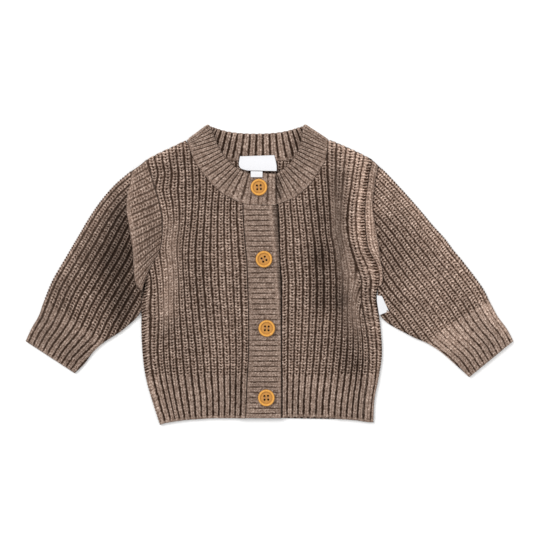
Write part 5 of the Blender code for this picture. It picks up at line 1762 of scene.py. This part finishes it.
# Stage ----------------------------------------------------------------------------------------
FLOOR_HALF_WIDTH = 3.0
FLOOR_DROP = 0.0001             # keeps the floor clear of the cloth that lies on it
CAMERA_OVER = (-3.2, 8.1)       # point of the garment over which the camera stands
# Lamps: name, place in metres, width and share of the lamp power.
LAMPS = (
    ("key_lamp", (-0.9, 0.9, 1.7), 0.9, 1.0),
    ("fill_lamp", (1.2, -0.4, 1.9), 1.4, 0.35),
)


def hang_lamp(name, place, size, power):
    """A square soft lamp that looks down at the garment."""
    light = bpy.data.lights.new(name, "AREA")
    light.shape = "SQUARE"
    light.size = size
    light.energy = power
    lamp = new_object(name, light)
    lamp.location = place
    aim = math.atan2(math.hypot(place[0], place[1]), place[2])
    lamp.rotation_euler = (aim, 0.0, math.atan2(place[1], place[0]) + math.pi / 2)


# Operators ------------------------------------------------------------------------------------
class CARDIGAN_OT_fronts(bpy.types.Operator):
    """Knit the two fronts and the back"""
    bl_idname = "cardigan.fronts"
    bl_label = "Knit Fronts and Back"

    def execute(self, context):
        settings = context.scene.cardigan_knit
        material = knit_material(settings)
        for side in ("right", "left"):
            piece = knit_front(side, settings, material)
        piece = knit_back(settings, material)
        return {"FINISHED"}


class CARDIGAN_OT_sleeves(bpy.types.Operator):
    """Knit the sleeves and their folded caps"""
    bl_idname = "cardigan.sleeves"
    bl_label = "Knit Sleeves"

    def execute(self, context):
        settings = context.scene.cardigan_knit
        material = knit_material(settings)
        for side, table in (("right", SLEEVE_RIGHT), ("left", SLEEVE_LEFT)):
            piece = knit_sleeve(side, table, settings, material)
        piece = knit_cap("right", CAP_RIGHT, settings, material)
        piece = knit_cap("left", CAP_LEFT, settings, material)
        return {"FINISHED"}


class CARDIGAN_OT_bands(bpy.types.Operator):
    """Knit the neckband and the two front bands"""
    bl_idname = "cardigan.bands"
    bl_label = "Knit Bands"

    def execute(self, context):
        settings = context.scene.cardigan_knit
        material = knit_material(settings)
        piece = knit_neckband(settings, material)
        piece = knit_band("knitted_buttonhole_band", lambda y: band_left_edge(y) + 0.3,
                          band_right_edge, OVERLAP_BASE, 8, settings, material,
                          "buttonhole_band")
        piece = knit_band("knitted_button_band", lambda y: band_left_edge(y) + 4.0,
                          lambda y: rib_across("left", 0, y) - 0.1, FRONT_BASE, 4, settings, material,
                          "button_band")
        return {"FINISHED"}


class CARDIGAN_OT_buttons(bpy.types.Operator):
    """Turn the wooden buttons and sew them on"""
    bl_idname = "cardigan.buttons"
    bl_label = "Sew On Buttons"

    def execute(self, context):
        settings = context.scene.cardigan_trim
        wood, thread = wood_material(settings), thread_material(settings)
        for number, place in enumerate(BUTTONS, start=1):
            turn_button(number, place, wood, thread)
        return {"FINISHED"}


class CARDIGAN_OT_labels(bpy.types.Operator):
    """Weave the bare labels"""
    bl_idname = "cardigan.labels"
    bl_label = "Weave Labels"

    def execute(self, context):
        material = label_material(context.scene.cardigan_trim)
        piece = weave_label("woven_neck_label", NECK_LABEL, 0.4, material, "neck_label")
        piece = weave_label("woven_size_tab", SIZE_TAB, 0.1, material, "size_tab")
        piece = weave_label("woven_side_tab", SIDE_TAB, 0.0, material, "side_tab")
        return {"FINISHED"}


class CARDIGAN_OT_stage(bpy.types.Operator):
    """Set up the floor, the soft lights and the camera"""
    bl_idname = "cardigan.stage"
    bl_label = "Set the Stage"

    def execute(self, context):
        settings = context.scene.cardigan_stage
        mesh = bpy.data.meshes.new("floor")
        half = FLOOR_HALF_WIDTH
        mesh.from_pydata([(-half, -half, 0), (half, -half, 0), (half, half, 0), (-half, half, 0)],
                         [], [(0, 1, 2, 3)])
        material, _, shader = new_material("Pale Floor", 0.9, 0.0, 0.1)
        shader.inputs["Base Color"].default_value = (*settings.floor_colour, 1)
        mesh.materials.append(material)
        floor = new_object("floor", mesh)
        floor.location.z = -FLOOR_DROP

        world = bpy.data.worlds.new("soft_room")
        world.use_nodes = True
        sky = world.node_tree.nodes["Background"]
        sky.inputs["Color"].default_value = (1, 1, 1, 1)
        sky.inputs["Strength"].default_value = settings.sky_light
        context.scene.world = world
        context.scene.view_settings.view_transform = "Standard"

        for name, place, size, share in LAMPS:
            hang_lamp(name, place, size, settings.lamp_power * share)

        lens = bpy.data.cameras.new("camera")
        lens.sensor_width = 36.0
        lens.lens = lens.sensor_width * settings.camera_height / settings.view_width
        camera = new_object("camera", lens)
        camera.location = (CAMERA_OVER[0] * MM, (CAMERA_OVER[1] - FOOTPRINT_CENTRE_Y) * MM,
                           settings.camera_height)
        context.scene.camera = camera
        return {"FINISHED"}


class CARDIGAN_PT_panel(bpy.types.Panel):
    """Cardigan tools in the sidebar"""
    bl_label = "Cardigan"
    bl_idname = "CARDIGAN_PT_panel"
    bl_space_type = "VIEW_3D"
    bl_region_type = "UI"
    bl_category = "Cardigan"

    def draw(self, context):
        for operator in OPERATORS:
            self.layout.operator(operator.bl_idname)
        for name in ("cardigan_knit", "cardigan_trim", "cardigan_stage"):
            group = getattr(context.scene, name)
            box = self.layout.box()
            for key in group.__annotations__:
                box.prop(group, key)


OPERATORS = (CARDIGAN_OT_stage, CARDIGAN_OT_fronts, CARDIGAN_OT_sleeves, CARDIGAN_OT_bands,
             CARDIGAN_OT_buttons, CARDIGAN_OT_labels)
SETTINGS = (CardiganKnitSettings, CardiganTrimSettings, CardiganStageSettings)


def register():
    """Adds the settings, operators and panel."""
    for item in SETTINGS + OPERATORS + (CARDIGAN_PT_panel,):
        bpy.utils.register_class(item)
    bpy.types.Scene.cardigan_knit = PointerProperty(type=CardiganKnitSettings)
    bpy.types.Scene.cardigan_trim = PointerProperty(type=CardiganTrimSettings)
    bpy.types.Scene.cardigan_stage = PointerProperty(type=CardiganStageSettings)


def unregister():
    """Takes them away again."""
    del bpy.types.Scene.cardigan_stage
    del bpy.types.Scene.cardigan_trim
    del bpy.types.Scene.cardigan_knit
    for item in reversed(SETTINGS + OPERATORS + (CARDIGAN_PT_panel,)):
        bpy.utils.unregister_class(item)


def main():
    """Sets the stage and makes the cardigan."""
    register()
    bpy.ops.cardigan.stage()
    bpy.ops.cardigan.fronts()
    bpy.ops.cardigan.sleeves()
    bpy.ops.cardigan.bands()
    bpy.ops.cardigan.buttons()
    bpy.ops.cardigan.labels()


if __name__ == "__main__":
    main()
